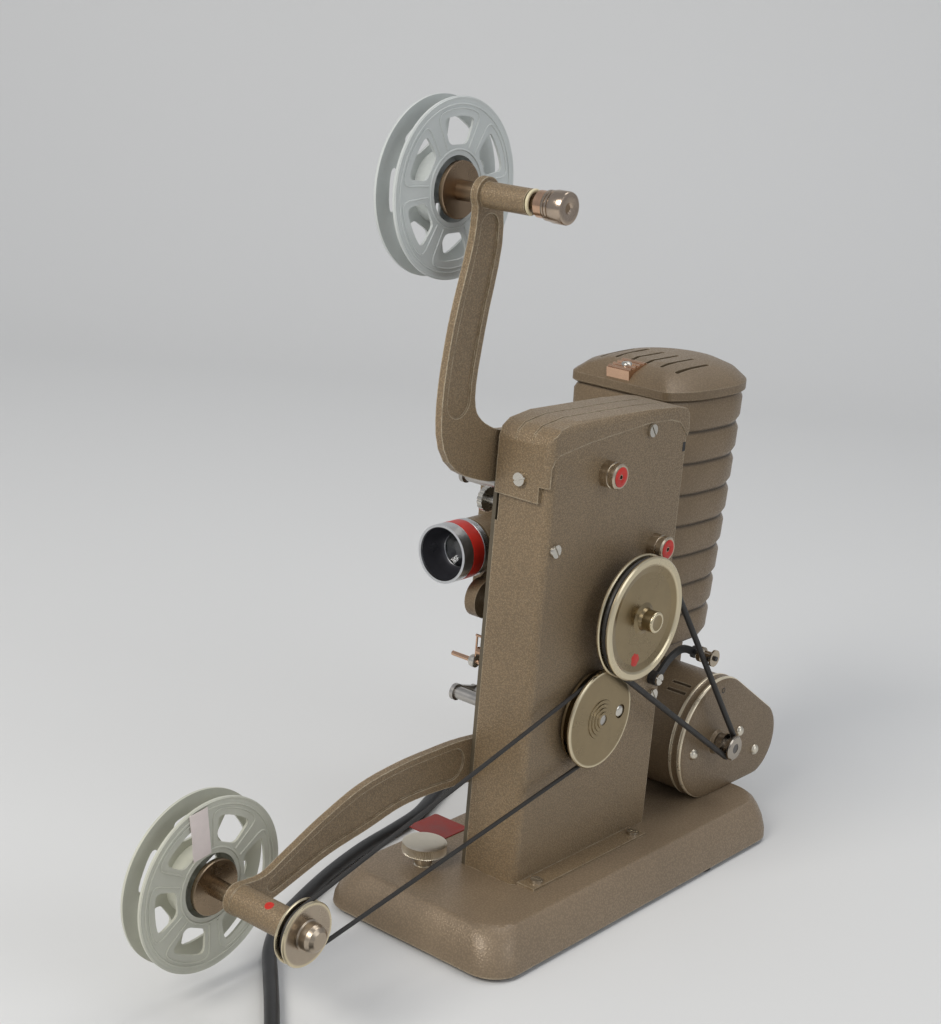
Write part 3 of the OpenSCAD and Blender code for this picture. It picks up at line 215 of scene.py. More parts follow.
def hammered_group():
    """Enamel that drew up into small domes as it dried, darker between them."""
    tree, given, out = new_group(
        "Hammered enamel",
        {"Colour": PAINT, "Hollow Colour": (0.1, 0.08, 0.04, 1), "Grain Scale": 900.0,
         "Sparkle": 0.5},
        ("Colour", "Height", "Roughness"))
    place, scale = own_place(tree), given["Grain Scale"]
    cells = add_node(tree, "ShaderNodeTexVoronoi", {"feature": "SMOOTH_F1"}, Vector=place,
                     Scale=scale, Smoothness=0.6)
    domes = ramp(tree, cells.outputs["Distance"], 0.15, 0.62, 1, 0)
    height = maths(tree, "ADD", domes,
                   maths(tree, "MULTIPLY", noise(tree, place, scale, 3, 0.6), 0.7))
    colour = mix_colour(tree, ramp(tree, height, 0.45, 1.25), given["Hollow Colour"],
                        given["Colour"])
    flecks = noise(tree, place, maths(tree, "MULTIPLY", scale, 2.2), 1, 0.5)
    bright = maths(tree, "MULTIPLY", ramp(tree, flecks, 0.60, 0.72), given["Sparkle"])
    colour = mix_colour(tree, bright, colour, FLECK)
    broad = noise(tree, place, 9, 4, 0.6)
    feed(tree, out, {"Colour": shaded(tree, colour, ramp(tree, broad, 0.3, 0.7, 0.88, 1.10)),
                     "Height": height, "Roughness": ramp(tree, height, 0.4, 1.3, 0.52, 0.34)})


def grain_group():
    """Fine even grain with broad patches of handling, for satin paint, mouldings and metal."""
    tree, given, out = new_group(
        "Satin grain",
        {"Colour": PAINT, "Grain Scale": 900.0, "Patch Scale": 22.0, "Patch Amount": 0.15,
         "Roughness Low": 0.35, "Roughness High": 0.5},
        ("Colour", "Height", "Roughness"))
    place, amount = own_place(tree), given["Patch Amount"]
    spread = ramp(tree, noise(tree, place, given["Patch Scale"], 5, 0.62), 0.32, 0.68)
    level = ramp(tree, spread, 0, 1, maths(tree, "SUBTRACT", 1, amount),
                 maths(tree, "ADD", 1, amount))
    gloss = ramp(tree, spread, 0, 1, given["Roughness Low"], given["Roughness High"])
    feed(tree, out, {"Colour": shaded(tree, given["Colour"], level),
                     "Height": noise(tree, place, given["Grain Scale"], 2, 0.6),
                     "Roughness": gloss})


def rubbed_and_highlit_edge_group():
    """Mask of the edges, where handling has thinned the paint and where a highlight is painted on.
    """
    tree, given, out = new_group("Edge wear", {"Width": 0.001, "Amount": 0.5}, ("Mask",))
    rounded = add_node(tree, "ShaderNodeBevel", {"samples": 6}, Radius=given["Width"])
    surface = add_node(tree, "ShaderNodeNewGeometry")
    agree = add_node(tree, "ShaderNodeVectorMath", {"operation": "DOT_PRODUCT"})
    feed(tree, agree, {0: rounded.outputs["Normal"], 1: surface.outputs["Normal"]})
    edge = ramp(tree, agree.outputs["Value"], 0.995, 0.88)
    patch = ramp(tree, noise(tree, own_place(tree), 260, 4, 0.65), 0.35, 0.6, 0.25, 1)
    mask = maths(tree, "MULTIPLY", edge, patch)
    feed(tree, out, {"Mask": maths(tree, "MULTIPLY", mask, given["Amount"])})


def turned_group():
    """Fine rings of a lathe round an axis along X at a given centre, and the outer rim, whose
    bright colour is partly polished metal and partly a painted highlight.
    """
    tree, given, out = new_group(
        "Turned rings",
        {"Centre Y": 0.0, "Centre Z": 0.0, "Ring Scale": 3200.0, "Rim Radius": 0.1},
        ("Height", "Rim"))
    place = add_node(tree, "ShaderNodeSeparateXYZ", Vector=own_place(tree)).outputs
    across = maths(tree, "SUBTRACT", place["Y"], given["Centre Y"])
    up = maths(tree, "SUBTRACT", place["Z"], given["Centre Z"])
    reach = maths(tree, "SQRT", maths(tree, "ADD", maths(tree, "MULTIPLY", across, across),
                                      maths(tree, "MULTIPLY", up, up)))
    rings = add_node(tree, "ShaderNodeTexNoise", {"noise_dimensions": "1D"}, Detail=3,
                     W=maths(tree, "ADD", reach, place["X"]), Scale=given["Ring Scale"])
    past = maths(tree, "SUBTRACT", reach, given["Rim Radius"])
    feed(tree, out, {"Height": rings.outputs["Fac"], "Rim": ramp(tree, past, -0.0004, 0.0004)})


# ---- materials

FINISHES = {}
LAMP_RIB_SHADE = (95, 16.25)  # a hollow's height and the ribs' pitch, for the shade painted into the hollows between the ribs

# Colour or the property that holds it, metallic, roughness from and to, scales of the grain and
# of the patches, amount of the patches, distance of the bump and its strength if not 0.3.
GRAINS = {
    # The pulley edge takes the rim colour: polished metal, and also a painted highlight.
    "pulley edge and highlight": ("rim", 1, 0.2, 0.3, 1500, 60, 0.1, 2e-5),
    # Worn metal: bare metal on the motor's seam, and also a painted highlight on its edges.
    "worn metal": ((0.8, 0.7, 0.52), 0.55, 0.24, 0.38, 1500, 60, 0.15, 4e-5),
    "reel grey": ("reel", 0, 0.3, 0.42, 700, 30, 0.06, 4e-5),
    "reel yellowed": ("reel_aged", 0, 0.3, 0.44, 700, 26, 0.08, 4e-5),
    "nickel plate": ("nickel", 1, 0.18, 0.32, 1500, 70, 0.1, 3e-5),
    "satin nickel": ((0.7, 0.64, 0.53), 1, 0.3, 0.42, 1500, 70, 0.08, 4e-5),
    "aged nickel": ((0.5, 0.425, 0.325), 1, 0.18, 0.32, 1500, 90, 0.15, 3e-5),
    "steel": ((0.46, 0.44, 0.41), 1, 0.25, 0.4, 1800, 60, 0.12, 3e-5),
    "copper": ("copper", 1, 0.16, 0.3, 1500, 60, 0.12, 3e-5, 0.25),
    "gear brass": ((0.55, 0.4, 0.16), 1, 0.26, 0.4, 1800, 60, 0.12, 3e-5),
    "belt rubber": ((0.019, 0.017, 0.015), 0, 0.45, 0.62, 1800, 90, 0.2, 8e-5, 0.5),
    "cord rubber": ("cord", 0, 0.34, 0.5, 1200, 40, 0.25, 5e-5, 0.4),
    "foot rubber": ((0.02, 0.02, 0.02), 0, 0.6, 0.75, 1200, 60, 0.2, 1e-4, 0.5),
    "black paint": ((0.022, 0.021, 0.02), 0, 0.42, 0.58, 1400, 50, 0.2, 5e-5, 0.4),
    "inner paint": ((0.1, 0.08, 0.05), 0, 0.45, 0.6, 1200, 40, 0.15, 5e-5, 0.4),
    "lens aluminium": ((0.56, 0.57, 0.58), 1, 0.24, 0.36, 2200, 60, 0.08, 2e-5),
    "red paint": ("paint", 0, 0.32, 0.5, 1400, 160, 0.16, 6e-5, 0.4),
    "plate paint": ((0.24, 0.018, 0.011), 0, 0.35, 0.55, 1400, 120, 0.25, 6e-5, 0.4),
    "hood paint": ((0.045, 0.045, 0.052), 0.5, 0.26, 0.36, 1400, 80, 0.15, 3e-5),
    "paper": ((0.78, 0.69, 0.65), 0, 0.6, 0.75, 1600, 70, 0.07, 5e-5, 0.4),
    "cream enamel": ((0.66, 0.58, 0.38), 0, 0.35, 0.5, 1200, 90, 0.1, 4e-5),
    "porcelain": ((0.7, 0.66, 0.55), 0, 0.12, 0.22, 900, 50, 0.05, 2e-5, 0.2),
    "core iron": ((0.16, 0.15, 0.14), 0.8, 0.4, 0.55, 1500, 60, 0.2, 6e-5, 0.4),
    "winding": ((0.42, 0.17, 0.07), 0.6, 0.3, 0.45, 1600, 60, 0.2, 6e-5, 0.4)}


def rgba(colour):
    return (*colour, 1)


def tinted(colour, level):
    """A darker shade of a paint, a little warmer than the paint itself."""
    return [channel * level * warm for channel, warm in zip(colour, (1.02, 0.97, 0.86))]


def start_material(name, **values):
    material = FINISHES[name] = bpy.data.materials.new(name)
    material.use_nodes = True
    tree = material.node_tree
    shader = tree.nodes["Principled BSDF"]
    feed(tree, shader, values)
    return tree, shader


def put_group(tree, group, **values):
    return add_node(tree, "ShaderNodeGroup", {"node_tree": bpy.data.node_groups[group]},
                    **values).outputs


def coat(tree, shader, colour, roughness, height, strength, distance):
    """Gives a shader its colour, its roughness and its bump."""
    bump = add_node(tree, "ShaderNodeBump", Strength=strength, Distance=distance, Height=height)
    feed(tree, shader, {"Base Color": colour, "Roughness": roughness,
                        "Normal": bump.outputs["Normal"]})


def hammered_material(name, colour, hollow, scale=1300, sparkle=0.75, bump=0.00016,
                      wear_and_highlight=0.55, width=0.0009, ribs=None):
    tree, shader = start_material(name, Metallic=0.25, Coat_Weight=0.12, Coat_Roughness=0.22)
    worn_and_highlit = put_group(tree, "Edge wear", Width=width, Amount=wear_and_highlight)
    enamel = put_group(tree, "Hammered enamel", Colour=rgba(colour), Hollow_Colour=rgba(hollow),
                       Grain_Scale=scale, Sparkle=sparkle)
    # Along the edges the pale colour is mixed in, for worn paint and a painted edge highlight.
    paint = mix_colour(tree, worn_and_highlit["Mask"], enamel["Colour"],
                       rgba(bpy.context.scene.projector_finish.worn_and_highlit))
    # Painted shade: the hollows between the ribs are darkened to 0.28 of the paint's colour.
    if ribs:
        paint = mix_colour(tree, painted_rib_shade(tree, *ribs), rgba([c * 0.28 for c in colour]), paint)
    coat(tree, shader, paint, enamel["Roughness"], enamel["Height"], 0.75, bump)


def painted_rib_shade(tree, bottom, pitch):
    """Mask that falls to nothing in the hollows between level ribs, where shade is painted."""
    place = add_node(tree, "ShaderNodeSeparateXYZ", Vector=own_place(tree)).outputs
    count = maths(tree, "DIVIDE", maths(tree, "SUBTRACT", place["Z"], bottom * MM), pitch * MM)
    return ramp(tree, maths(tree, "PINGPONG", count, 0.5), 0.015, 0.085)


def put_grain(tree, colour, low, high, grain, patch, amount):
    return put_group(tree, "Satin grain", Colour=rgba(colour), Grain_Scale=grain,
                     Patch_Scale=patch, Patch_Amount=amount, Roughness_Low=low,
                     Roughness_High=high)


def grain_material(name, colour, metallic, low, high, grain, patch, amount, bump, strength=0.3):
    tree, shader = start_material(name, Metallic=metallic)
    satin = put_grain(tree, colour, low, high, grain, patch, amount)
    coat(tree, shader, satin["Colour"], satin["Roughness"], satin["Height"], strength, bump)


def turned_material(name, colour, centre, low=0.24, high=0.36, rim=None):
    tree, shader = start_material(name, Metallic=1)
    satin = put_grain(tree, colour, low, high, 1400, 60, 0.1)
    rings = put_group(tree, "Turned rings", Centre_Y=centre[0] * MM, Centre_Z=centre[1] * MM,
                      Rim_Radius=(rim or 100) * MM)
    colour = satin["Colour"]
    # Past the rim radius the bright rim colour is mixed in: polished metal and a painted highlight
    # on the rim.
    if rim:
        colour = mix_colour(tree, rings["Rim"], colour,
                            rgba(bpy.context.scene.projector_finish.rim))
    coat(tree, shader, colour, satin["Roughness"], rings["Height"], 0.35, 0.00008)


def glass_material(name, rough):
    tree, shader = start_material(name, Transmission_Weight=1, IOR=1.5, Roughness=rough)
    cloud = noise(tree, own_place(tree), 60)
    feed(tree, shader, {"Base Color": (0.93, 0.95, 0.97, 1),
                        "Roughness": ramp(tree, cloud, 0.3, 0.7, rough + 0.01, rough + 0.05)})


def make_finishes():
    finish = bpy.context.scene.projector_finish
    for make_group in (hammered_group, grain_group, rubbed_and_highlit_edge_group, turned_group):
        make_group()
    hammered_material("column enamel", finish.enamel, finish.enamel_low)
    hammered_material("arm enamel", finish.enamel, finish.enamel_low, wear_and_highlight=0.75)
    hammered_material("base enamel", finish.satin, [c * 0.78 for c in finish.satin],
                      1100, 0.14, 0.0001, 0.4, 0.0014)
    # The lamp house's rib enamel carries painted shade in the hollows between its ribs.
    for name, light, dark, wear_and_highlight, ribs in (
            ("lamp enamel", 0.76, 0.62, 0.3, None), ("rib enamel", 0.82, 0.68, 0.2, LAMP_RIB_SHADE),
            ("motor enamel", 0.72, 0.59, 0.5, None)):
        hammered_material(name, tinted(finish.satin, light), tinted(finish.satin, dark),
                          1200, 0.12, 0.00008, wear_and_highlight, ribs=ribs)
    for name, (colour, *values) in GRAINS.items():
        grain_material(name, getattr(finish, colour) if isinstance(colour, str) else colour,
                       *values)
    turned_material("main pulley", finish.pulley, MAIN_SHAFT, rim=25.4)
    turned_material("small pulley", finish.pulley, LOWER_SHAFT, rim=22.4)
    turned_material("take-up pulley", (0.42, 0.35, 0.27), TAKEUP_SPINDLE, rim=12.4)
    turned_material("take-up hub", (0.30, 0.225, 0.15), TAKEUP_SPINDLE)
    turned_material("supply hub", (0.30, 0.215, 0.14), SUPPLY_SPINDLE)
    turned_material("motor pulley", (0.40, 0.355, 0.30), MOTOR_SHAFT, 0.18, 0.28)
    turned_material("supply nut", (0.46, 0.37, 0.29), SUPPLY_SPINDLE, 0.16, 0.28)
    glass_material("clear glass", 0.02)
    glass_material("coated lens", 0)


# ---- mesh helpers

def new_object(name, data):
    made = bpy.data.objects.new(name, data)
    bpy.context.scene.collection.objects.link(made)
    return made


def add_object(name, mesh_or_curve, finish, body):
    made = new_object(name, mesh_or_curve)
    for label in ([finish] if isinstance(finish, str) else finish):
        made.data.materials.append(FINISHES[label])
    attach(made, body)
    return made


def box_mm(node):
    """The lowest and the highest corner of a node's box, in millimetres."""
    return [[c / MM for c in corner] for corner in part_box(node)]


def skin(work, rings, closed=True):
    """Faces between each ring of points and the next one."""
    for first, second in zip(rings, rings[1:]):
        for k in range(len(first) if closed else len(first) - 1):
            after = (k + 1) % len(first)
            work.faces.new((first[k], first[after], second[after], second[k]))


def mesh_from(name, work, bend=35):
    """The finished mesh, shaded smooth over edges that bend by fewer degrees than bend."""
    bmesh.ops.recalc_face_normals(work, faces=work.faces)
    work.normal_update()
    for face in work.faces:
        face.smooth = True
    for edge in work.edges:
        edge.smooth = len(edge.link_faces) == 2 and edge.calc_face_angle(0) < radians(bend)
    mesh = bpy.data.meshes.new(name)
    work.to_mesh(mesh)
    work.free()
    return mesh


def build(name, rings, caps=(), bend=35, weld=None):
    """A mesh of faces between rings of points in millimetres, with caps on some of them."""
    work = bmesh.new()
    rings = [[work.verts.new([c * MM for c in place]) for place in ring] for ring in rings]
    skin(work, rings)
    for index in caps:
        work.faces.new(rings[index])
    if weld:
        bmesh.ops.remove_doubles(work, verts=work.verts, dist=weld)
    return mesh_from(name, work, bend)


def smooth_copy(node, finish):
    """The node's own shape, welded and shaded smooth across its small facets, in its place."""
    source = frame["nodes"][node]
    work = bmesh.new()
    work.from_mesh(source.data)
    bmesh.ops.remove_doubles(work, verts=work.verts, dist=WELD)
    bmesh.ops.dissolve_limit(work, angle_limit=radians(0.5), verts=work.verts, edges=work.edges)
    bmesh.ops.triangulate(work, faces=[f for f in work.faces if len(f.verts) > 4])
    name = node + "_smooth"
    made = add_object(name, mesh_from(name, work, 38), finish, source["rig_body"])
    made.modifiers.new("Even shading", "WEIGHTED_NORMAL").keep_sharp = True
    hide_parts(node)


def angles(count):
    """Directions of points spread evenly round a circle."""
    return [2 * pi * k / count for k in range(count)]


def lathe(name, profile, centre, axis="X", turns=64, flute=None, ends=True):
    """Turns a profile of (radius, place along the axis) in millimetres round an axis.

    flute = (count, depth, from, to) waves the radius of the profile points between two places.
    """
    rings = []
    for radius, along in profile:
        ring = []
        for angle in angles(turns):
            reach = radius
            if flute and flute[2] <= along <= flute[3]:
                reach -= flute[1] * (0.5 - 0.5 * cos(angle * flute[0]))
            place = [centre[0] + reach * cos(angle), centre[1] + reach * sin(angle)]
            place.insert("XYZ".index(axis), along)
            ring.append(place)
        rings.append(ring)
    caps = [end for end in (0, -1) if ends and profile[end][0] > 0]
    return build(name, rings, caps, weld=WELD / 5)


def add_lathe(name, finish, body, slot, *turned, **shape):
    return add_object(name, lathe(name, *turned, **shape), finish, body)


def face_reach(face, centre):
    """How far the middle of a face is from an axis along X, in millimetres."""
    return hypot(face.center.y / MM - centre[0], face.center.z / MM - centre[1])


def tube(name, points, radius, closed=False, sides=12):
    """A round bead along points in millimetres."""
    work = bmesh.new()
    places = [Vector(p) * MM for p in points]
    count = len(places)
    normal = None
    loops = []
    for index, place in enumerate(places):
        after = places[(index + 1) % count] if closed or index < count - 1 else place
        before = places[index - 1] if closed or index > 0 else place
        heading = (after - before).normalized()
        if normal is None:
            normal = heading.orthogonal().normalized()
        normal = (normal - heading * normal.dot(heading)).normalized()
        side = heading.cross(normal)
        loops.append([work.verts.new(place + (normal * cos(a) + side * sin(a)) * radius * MM)
                      for a in angles(sides)])
    if closed:
        first, last = loops[0], loops[-1]
        shift = min(range(sides), key=lambda s: sum(
            (last[k].co - first[(k + s) % sides].co).length for k in range(sides)))
        loops.append([first[(k + shift) % sides] for k in range(sides)])
    skin(work, loops)
    if not closed:
        work.faces.new(loops[0])
        work.faces.new(loops[-1])
    return mesh_from(name, work, 60)


def smooth_route(points):
    """Catmull-Rom curve through points, six steps to a span, as the model's own cord follows."""
    made = []
    last = len(points) - 1
    for index in range(last):
        p0, p1 = points[max(index - 1, 0)], points[index]
        p2, p3 = points[index + 1], points[min(index + 2, last)]
        for t in (step / 6 for step in range(6)):
            made.append([0.5 * (2 * b + (c - a) * t + (2 * a - 5 * b + 4 * c - d) * t * t
                                + (3 * b - a - 3 * c + d) * t ** 3)
                         for a, b, c, d in zip(p0, p1, p2, p3)])
    made.append(list(points[last]))
    return made


def add_joined(name, meshes, finish, body):
    """One piece made of several meshes."""
    work = bmesh.new()
    for mesh in meshes:
        work.from_mesh(mesh)
    mesh = bpy.data.meshes.new(name)
    work.to_mesh(mesh)
    work.free()
    return add_object(name, mesh, finish, body)


# ---- the cord's route, as in the model

RELIEF_END = (-72, 80, 10)
CORD_LIE = 3.3  # the cord's middle above the table
CORD_BENDS = [
    RELIEF_END, (-84, 78, 8.5), (-95, 70, 5.5), (-101, 57, 3.6),
    *((x, y, CORD_LIE) for x, y in (
        (-101, 42), (-96, 26), (-88, 6), (-81, -13), (-77, -35), (-73, -62), (-66, -91),
        (-56.5, -120), (-47, -143), (-33, -163), (-17.5, -178), (-3, -191.5), (10.5, -204.5),
        (30, -224), (50, -243.5)))]
COIL_CENTRE = (107, -235)
COIL_INNER, COIL_PITCH, COIL_HALF = 24, 7.3, 2.75
COIL_START = radians(225)


def coil_point(turn):
    radius = COIL_INNER + COIL_PITCH * abs(turn - COIL_HALF - 0.25)
    height = CORD_LIE + COIL_PITCH * min(1, max(0, (turn - COIL_HALF) / 0.5))
    angle = COIL_START + 2 * pi * turn
    return (COIL_CENTRE[0] + radius * cos(angle), COIL_CENTRE[1] + radius * sin(angle), height)


def cord_route():
    heading = (-sin(COIL_START), cos(COIL_START), 0)
    turns = [coil_point(k / 24) for k in range(int(24 * (2 * COIL_HALF + 0.5)) + 1)]
    lead = [turns[0][k] - 6.6 * heading[k] for k in range(3)]
    tail = [turns[-1][k] + 20 * heading[k] for k in range(3)]
    return smooth_route(CORD_BENDS + [lead]) + turns + [tail], tail, heading


# ---- operators

class PROJECTOR_OT_stage(bpy.types.Operator):
    """Makes the camera, the floor and the lights"""
    bl_idname = "projector.stage"
    bl_label = "Camera, floor and light"

    def execute(self, context):
        stage = context.scene.projector_stage
        lens = bpy.data.cameras.new("Camera")
        camera = context.scene.camera = new_object("Camera", lens)
        lens.sensor_width = 36
        lens.lens = stage.focal_length
        lens.clip_start, lens.clip_end = 0.01, 50
        right = Vector((0.76510107, 0.6388833, 0.08030247))
        down = Vector((0.2352193, -0.16121621, -0.95847859))
        ahead = Vector((-0.59940991, 0.75222168, -0.27362438))
        turn = Matrix((right, -down, -ahead)).transposed().to_4x4()
        camera.matrix_world = Matrix.Translation((0.47876, -0.69191, 0.41542)) @ turn
        self.make_floor(stage)
        self.make_lights(context, stage)
        context.scene.view_settings.view_transform = "Standard"
        return {"FINISHED"}

    def make_floor(self, stage):
        tree, shader = start_material("floor", Roughness=0.65)
        cloud = add_node(tree, "ShaderNodeTexNoise", Scale=3).outputs["Fac"]
        feed(tree, shader, {"Base Color": mix_colour(
            tree, ramp(tree, cloud, 0.3, 0.7), rgba([c * 0.98 for c in stage.floor]),
            rgba(stage.floor))})
        work = bmesh.new()
        side, back, rise, bend = 3, 1.6, 2.6, 0.5
        line = [(-3, 0), (back - bend, 0)]
        line += [(back - bend + bend * sin(a), bend - bend * cos(a))
                 for a in (radians(9 * k) for k in range(1, 11))]
        line += [(back, rise)]
        rows = [[work.verts.new((x, y, z - 0.0002)) for x in (-side, side)] for y, z in line]
        skin(work, rows, closed=False)
        floor = new_object("studio_floor", mesh_from("studio_floor", work, 60))
        floor.rotation_euler = (0, 0, radians(38.5))
        floor.data.materials.append(FINISHES["floor"])

    def make_lights(self, context, stage):
        world = bpy.data.worlds.new("Studio")
        context.scene.world = world
        world.use_nodes = True
        sky = world.node_tree.nodes["Background"]
        feed(world.node_tree, sky, {"Color": (0.9, 0.93, 1, 1), "Strength": 0.42})
        for name, place, size, power, tint in (
                ("Key light", (-0.10, -1.45, 1.30), 0.9, stage.key_power, (1, 0.97, 0.92)),
                ("Fill light", (1.55, 0.15, 0.95), 1.1, stage.fill_power, (0.94, 0.97, 1)),
                ("Top light", (0.1, 0.6, 1.7), 0.9, stage.fill_power * 1.2, (1, 1, 1))):
            lamp = bpy.data.lights.new(name, "AREA")
            lamp.shape = "DISK"
            lamp.size = size
            lamp.energy = power
            lamp.color = tint
            made = new_object(name, lamp)
            made.location = place
            aim = Vector((0, 0, 0.15)) - Vector(place)
            made.rotation_mode = "QUATERNION"
            made.rotation_quaternion = aim.to_track_quat("-Z", "Y")


class PROJECTOR_OT_cord(bpy.types.Operator):
    """Lays the mains cord with its sleeve, tie and plug"""
    bl_idname = "projector.cord"
    bl_label = "Mains cord"

    def execute(self, context):
        sizes = context.scene.projector_sizes
        route, tail, heading = cord_route()
        line = bpy.data.curves.new("mains_cord", "CURVE")
        line.dimensions = "3D"
        line.bevel_depth = sizes.cord_width / 2
        line.bevel_resolution = 6
        line.use_fill_caps = True
        spline = line.splines.new("POLY")
        spline.points.add(len(route) - 1)
        for point, place in zip(spline.points, route):
            point.co = (*[c * MM for c in place], 1)
        spline.use_smooth = True
        cord = add_object("mains_cord", line, "cord rubber", "chassis")
        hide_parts("power_cord", "cord_coil")
        plug = self.make_plug(tail, heading)
        tie = self.make_tie()
        self.make_sleeve()
        return {"FINISHED"}

    def make_sleeve(self):
        start = RELIEF_END[0]
        profile = [(0, start), (3.4, start), (3.9, start + 0.6)]
        for rib in range(5):
            at = start + 2.2 + 3 * rib
            profile += [(4.1 + 0.08 * rib, at - 1.2), (4.15 + 0.08 * rib, at + 0.6),
                        (3.5 + 0.08 * rib, at + 0.9), (3.5 + 0.08 * rib, at + 1.5)]
        end = box_mm("strain_relief")[1][0]
        profile += [(4.5, start + 17.5), (5.6, start + 18.4), (5.6, start + 24.4),
                    (4.2, start + 24.6), (4.2, end), (0, end)]
        sleeve = add_lathe("cord_sleeve", "cord rubber", "chassis", "cord_rubber", profile,
                           RELIEF_END[1:])
        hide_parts("strain_relief")

    def make_plug(self, tail, heading):
        profile = [(0, 0), (3.4, 0), (3.8, 0.8), (4.2, 4), (4.6, 8), (5.4, 12), (8.4, 14.2),
                   (10, 16), (10.35, 19), (9.6, 22), (9.6, 31), (10.35, 34), (10.4, 38.8),
                   (9.8, 40), (0, 40)]
        body = lathe("body", profile, (0, 0), flute=(16, 0.5, 21.5, 31.5))
        pin = [(0, 39.5), (2, 39.5), (2, 57.2), (1.4, 58), (0, 58)]
        pins = [lathe("pin", pin, (side, 0), turns=24) for side in (-6.4, 6.4)]
        plug = add_joined("mains_plug_detail", [body] + pins, ["black paint", "nickel plate"],
                          "chassis")
        turn = Matrix.Rotation(atan2(heading[1], heading[0]), 4, "Z")
        plug.data.transform(Matrix.Translation(Vector(tail) * MM) @ turn)
        split = len(body.polygons)
        for index, face in enumerate(plug.data.polygons):
            face.material_index = int(index >= split)
        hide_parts("mains_plug")
        return plug

    def make_tie(self):
        """A flat band round the turns of the coil."""
        angle = radians(20)
        inner, outer = COIL_INNER - 2.4, COIL_INNER + COIL_PITCH * 3 + 4
        middle = ((inner + outer) / 2, 7.4)
        cut = [(inner, 5.2), (inner + 1.2, 0.9), (inner + 4, 0.35), (outer - 4, 0.35),
               (outer - 1.2, 0.9), (outer, 5.2), (outer - 0.8, 12.8), (outer - 5, 14.5),
               (inner + 5, 14.5), (inner + 0.8, 12.8)]
        rings = []
        for shift, grow in ((-3, 0), (-3, 0.5), (3, 0.5), (3, 0), (-3, 0)):
            ring = []
            for reach, height in cut:
                away = Vector((reach - middle[0], height - middle[1])).normalized() * grow
                reach, height = reach + away[0], max(0.05, height + away[1])
                ring.append((COIL_CENTRE[0] + reach * cos(angle) - shift * sin(angle),
                             COIL_CENTRE[1] + reach * sin(angle) + shift * cos(angle), height))
            rings.append(ring)
        return add_object("cord_tie", build("cord_tie", rings, weld=WELD), "black paint",
                          "chassis")


# The nodes that keep their own mesh, by finish. The others are replaced.
FINISH_NODES = {
    "steel": "fixed_studs gate_block main_shaft shutter_shaft lower_shaft lower_sprocket "
             "upper_shaft upper_sprocket claw upper_keeper lower_keeper",
    "black paint": "base_plate condenser switch_body shutter_drum idler_arm",
    "nickel plate": "cover_screws framing_wheel switch_lever",
    "aged nickel": "bearing_caps idler_roller", "arm enamel": "upper_arm lower_arm",
    "belt rubber": "drive_belt takeup_belt", "copper": "film_guide cap_clip",
    "lamp enamel": "air_duct lens_carrier", "gear brass": "lower_gear upper_gear",
    "foot rubber": "rubber_feet", "inner paint": "mechanism_plate", "winding": "stator",
    "porcelain": "lamp_socket", "clear glass": "lamp_bulb", "core iron": "armature",
    "motor pulley": "motor_pulley", "main pulley": "main_pulley",
    "small pulley": "takeup_drive_pulley", "take-up hub": "takeup_spindle",
    "take-up pulley": "takeup_pulley", "reel yellowed": "takeup_reel",
    "supply hub": "supply_spindle", "reel grey": "supply_reel",
    "lens aluminium": "lens_barrel", "coated lens": "lens_elements"}


class PROJECTOR_OT_finishes(bpy.types.Operator):
    """Gives the nodes of the model their finishes"""
    bl_idname = "projector.finishes"
    bl_label = "Finishes"

    def execute(self, context):
        for finish, nodes in FINISH_NODES.items():
            for node in nodes.split():
                materials = frame["nodes"][node].data.materials
                materials.clear()
                materials.append(FINISHES[finish])
        return {"FINISHED"}


def polar(centre, reach, turn, x):
    """A point round an axis along X, at a turn in degrees."""
    angle = radians(turn)
    return (x, centre[0] + reach * cos(angle), centre[1] + reach * sin(angle))


def arc_points(centre, reach, start, end, steps, x):
    return [polar(centre, reach, start + (end - start) * k / steps, x)
            for k in range(steps + 1)]


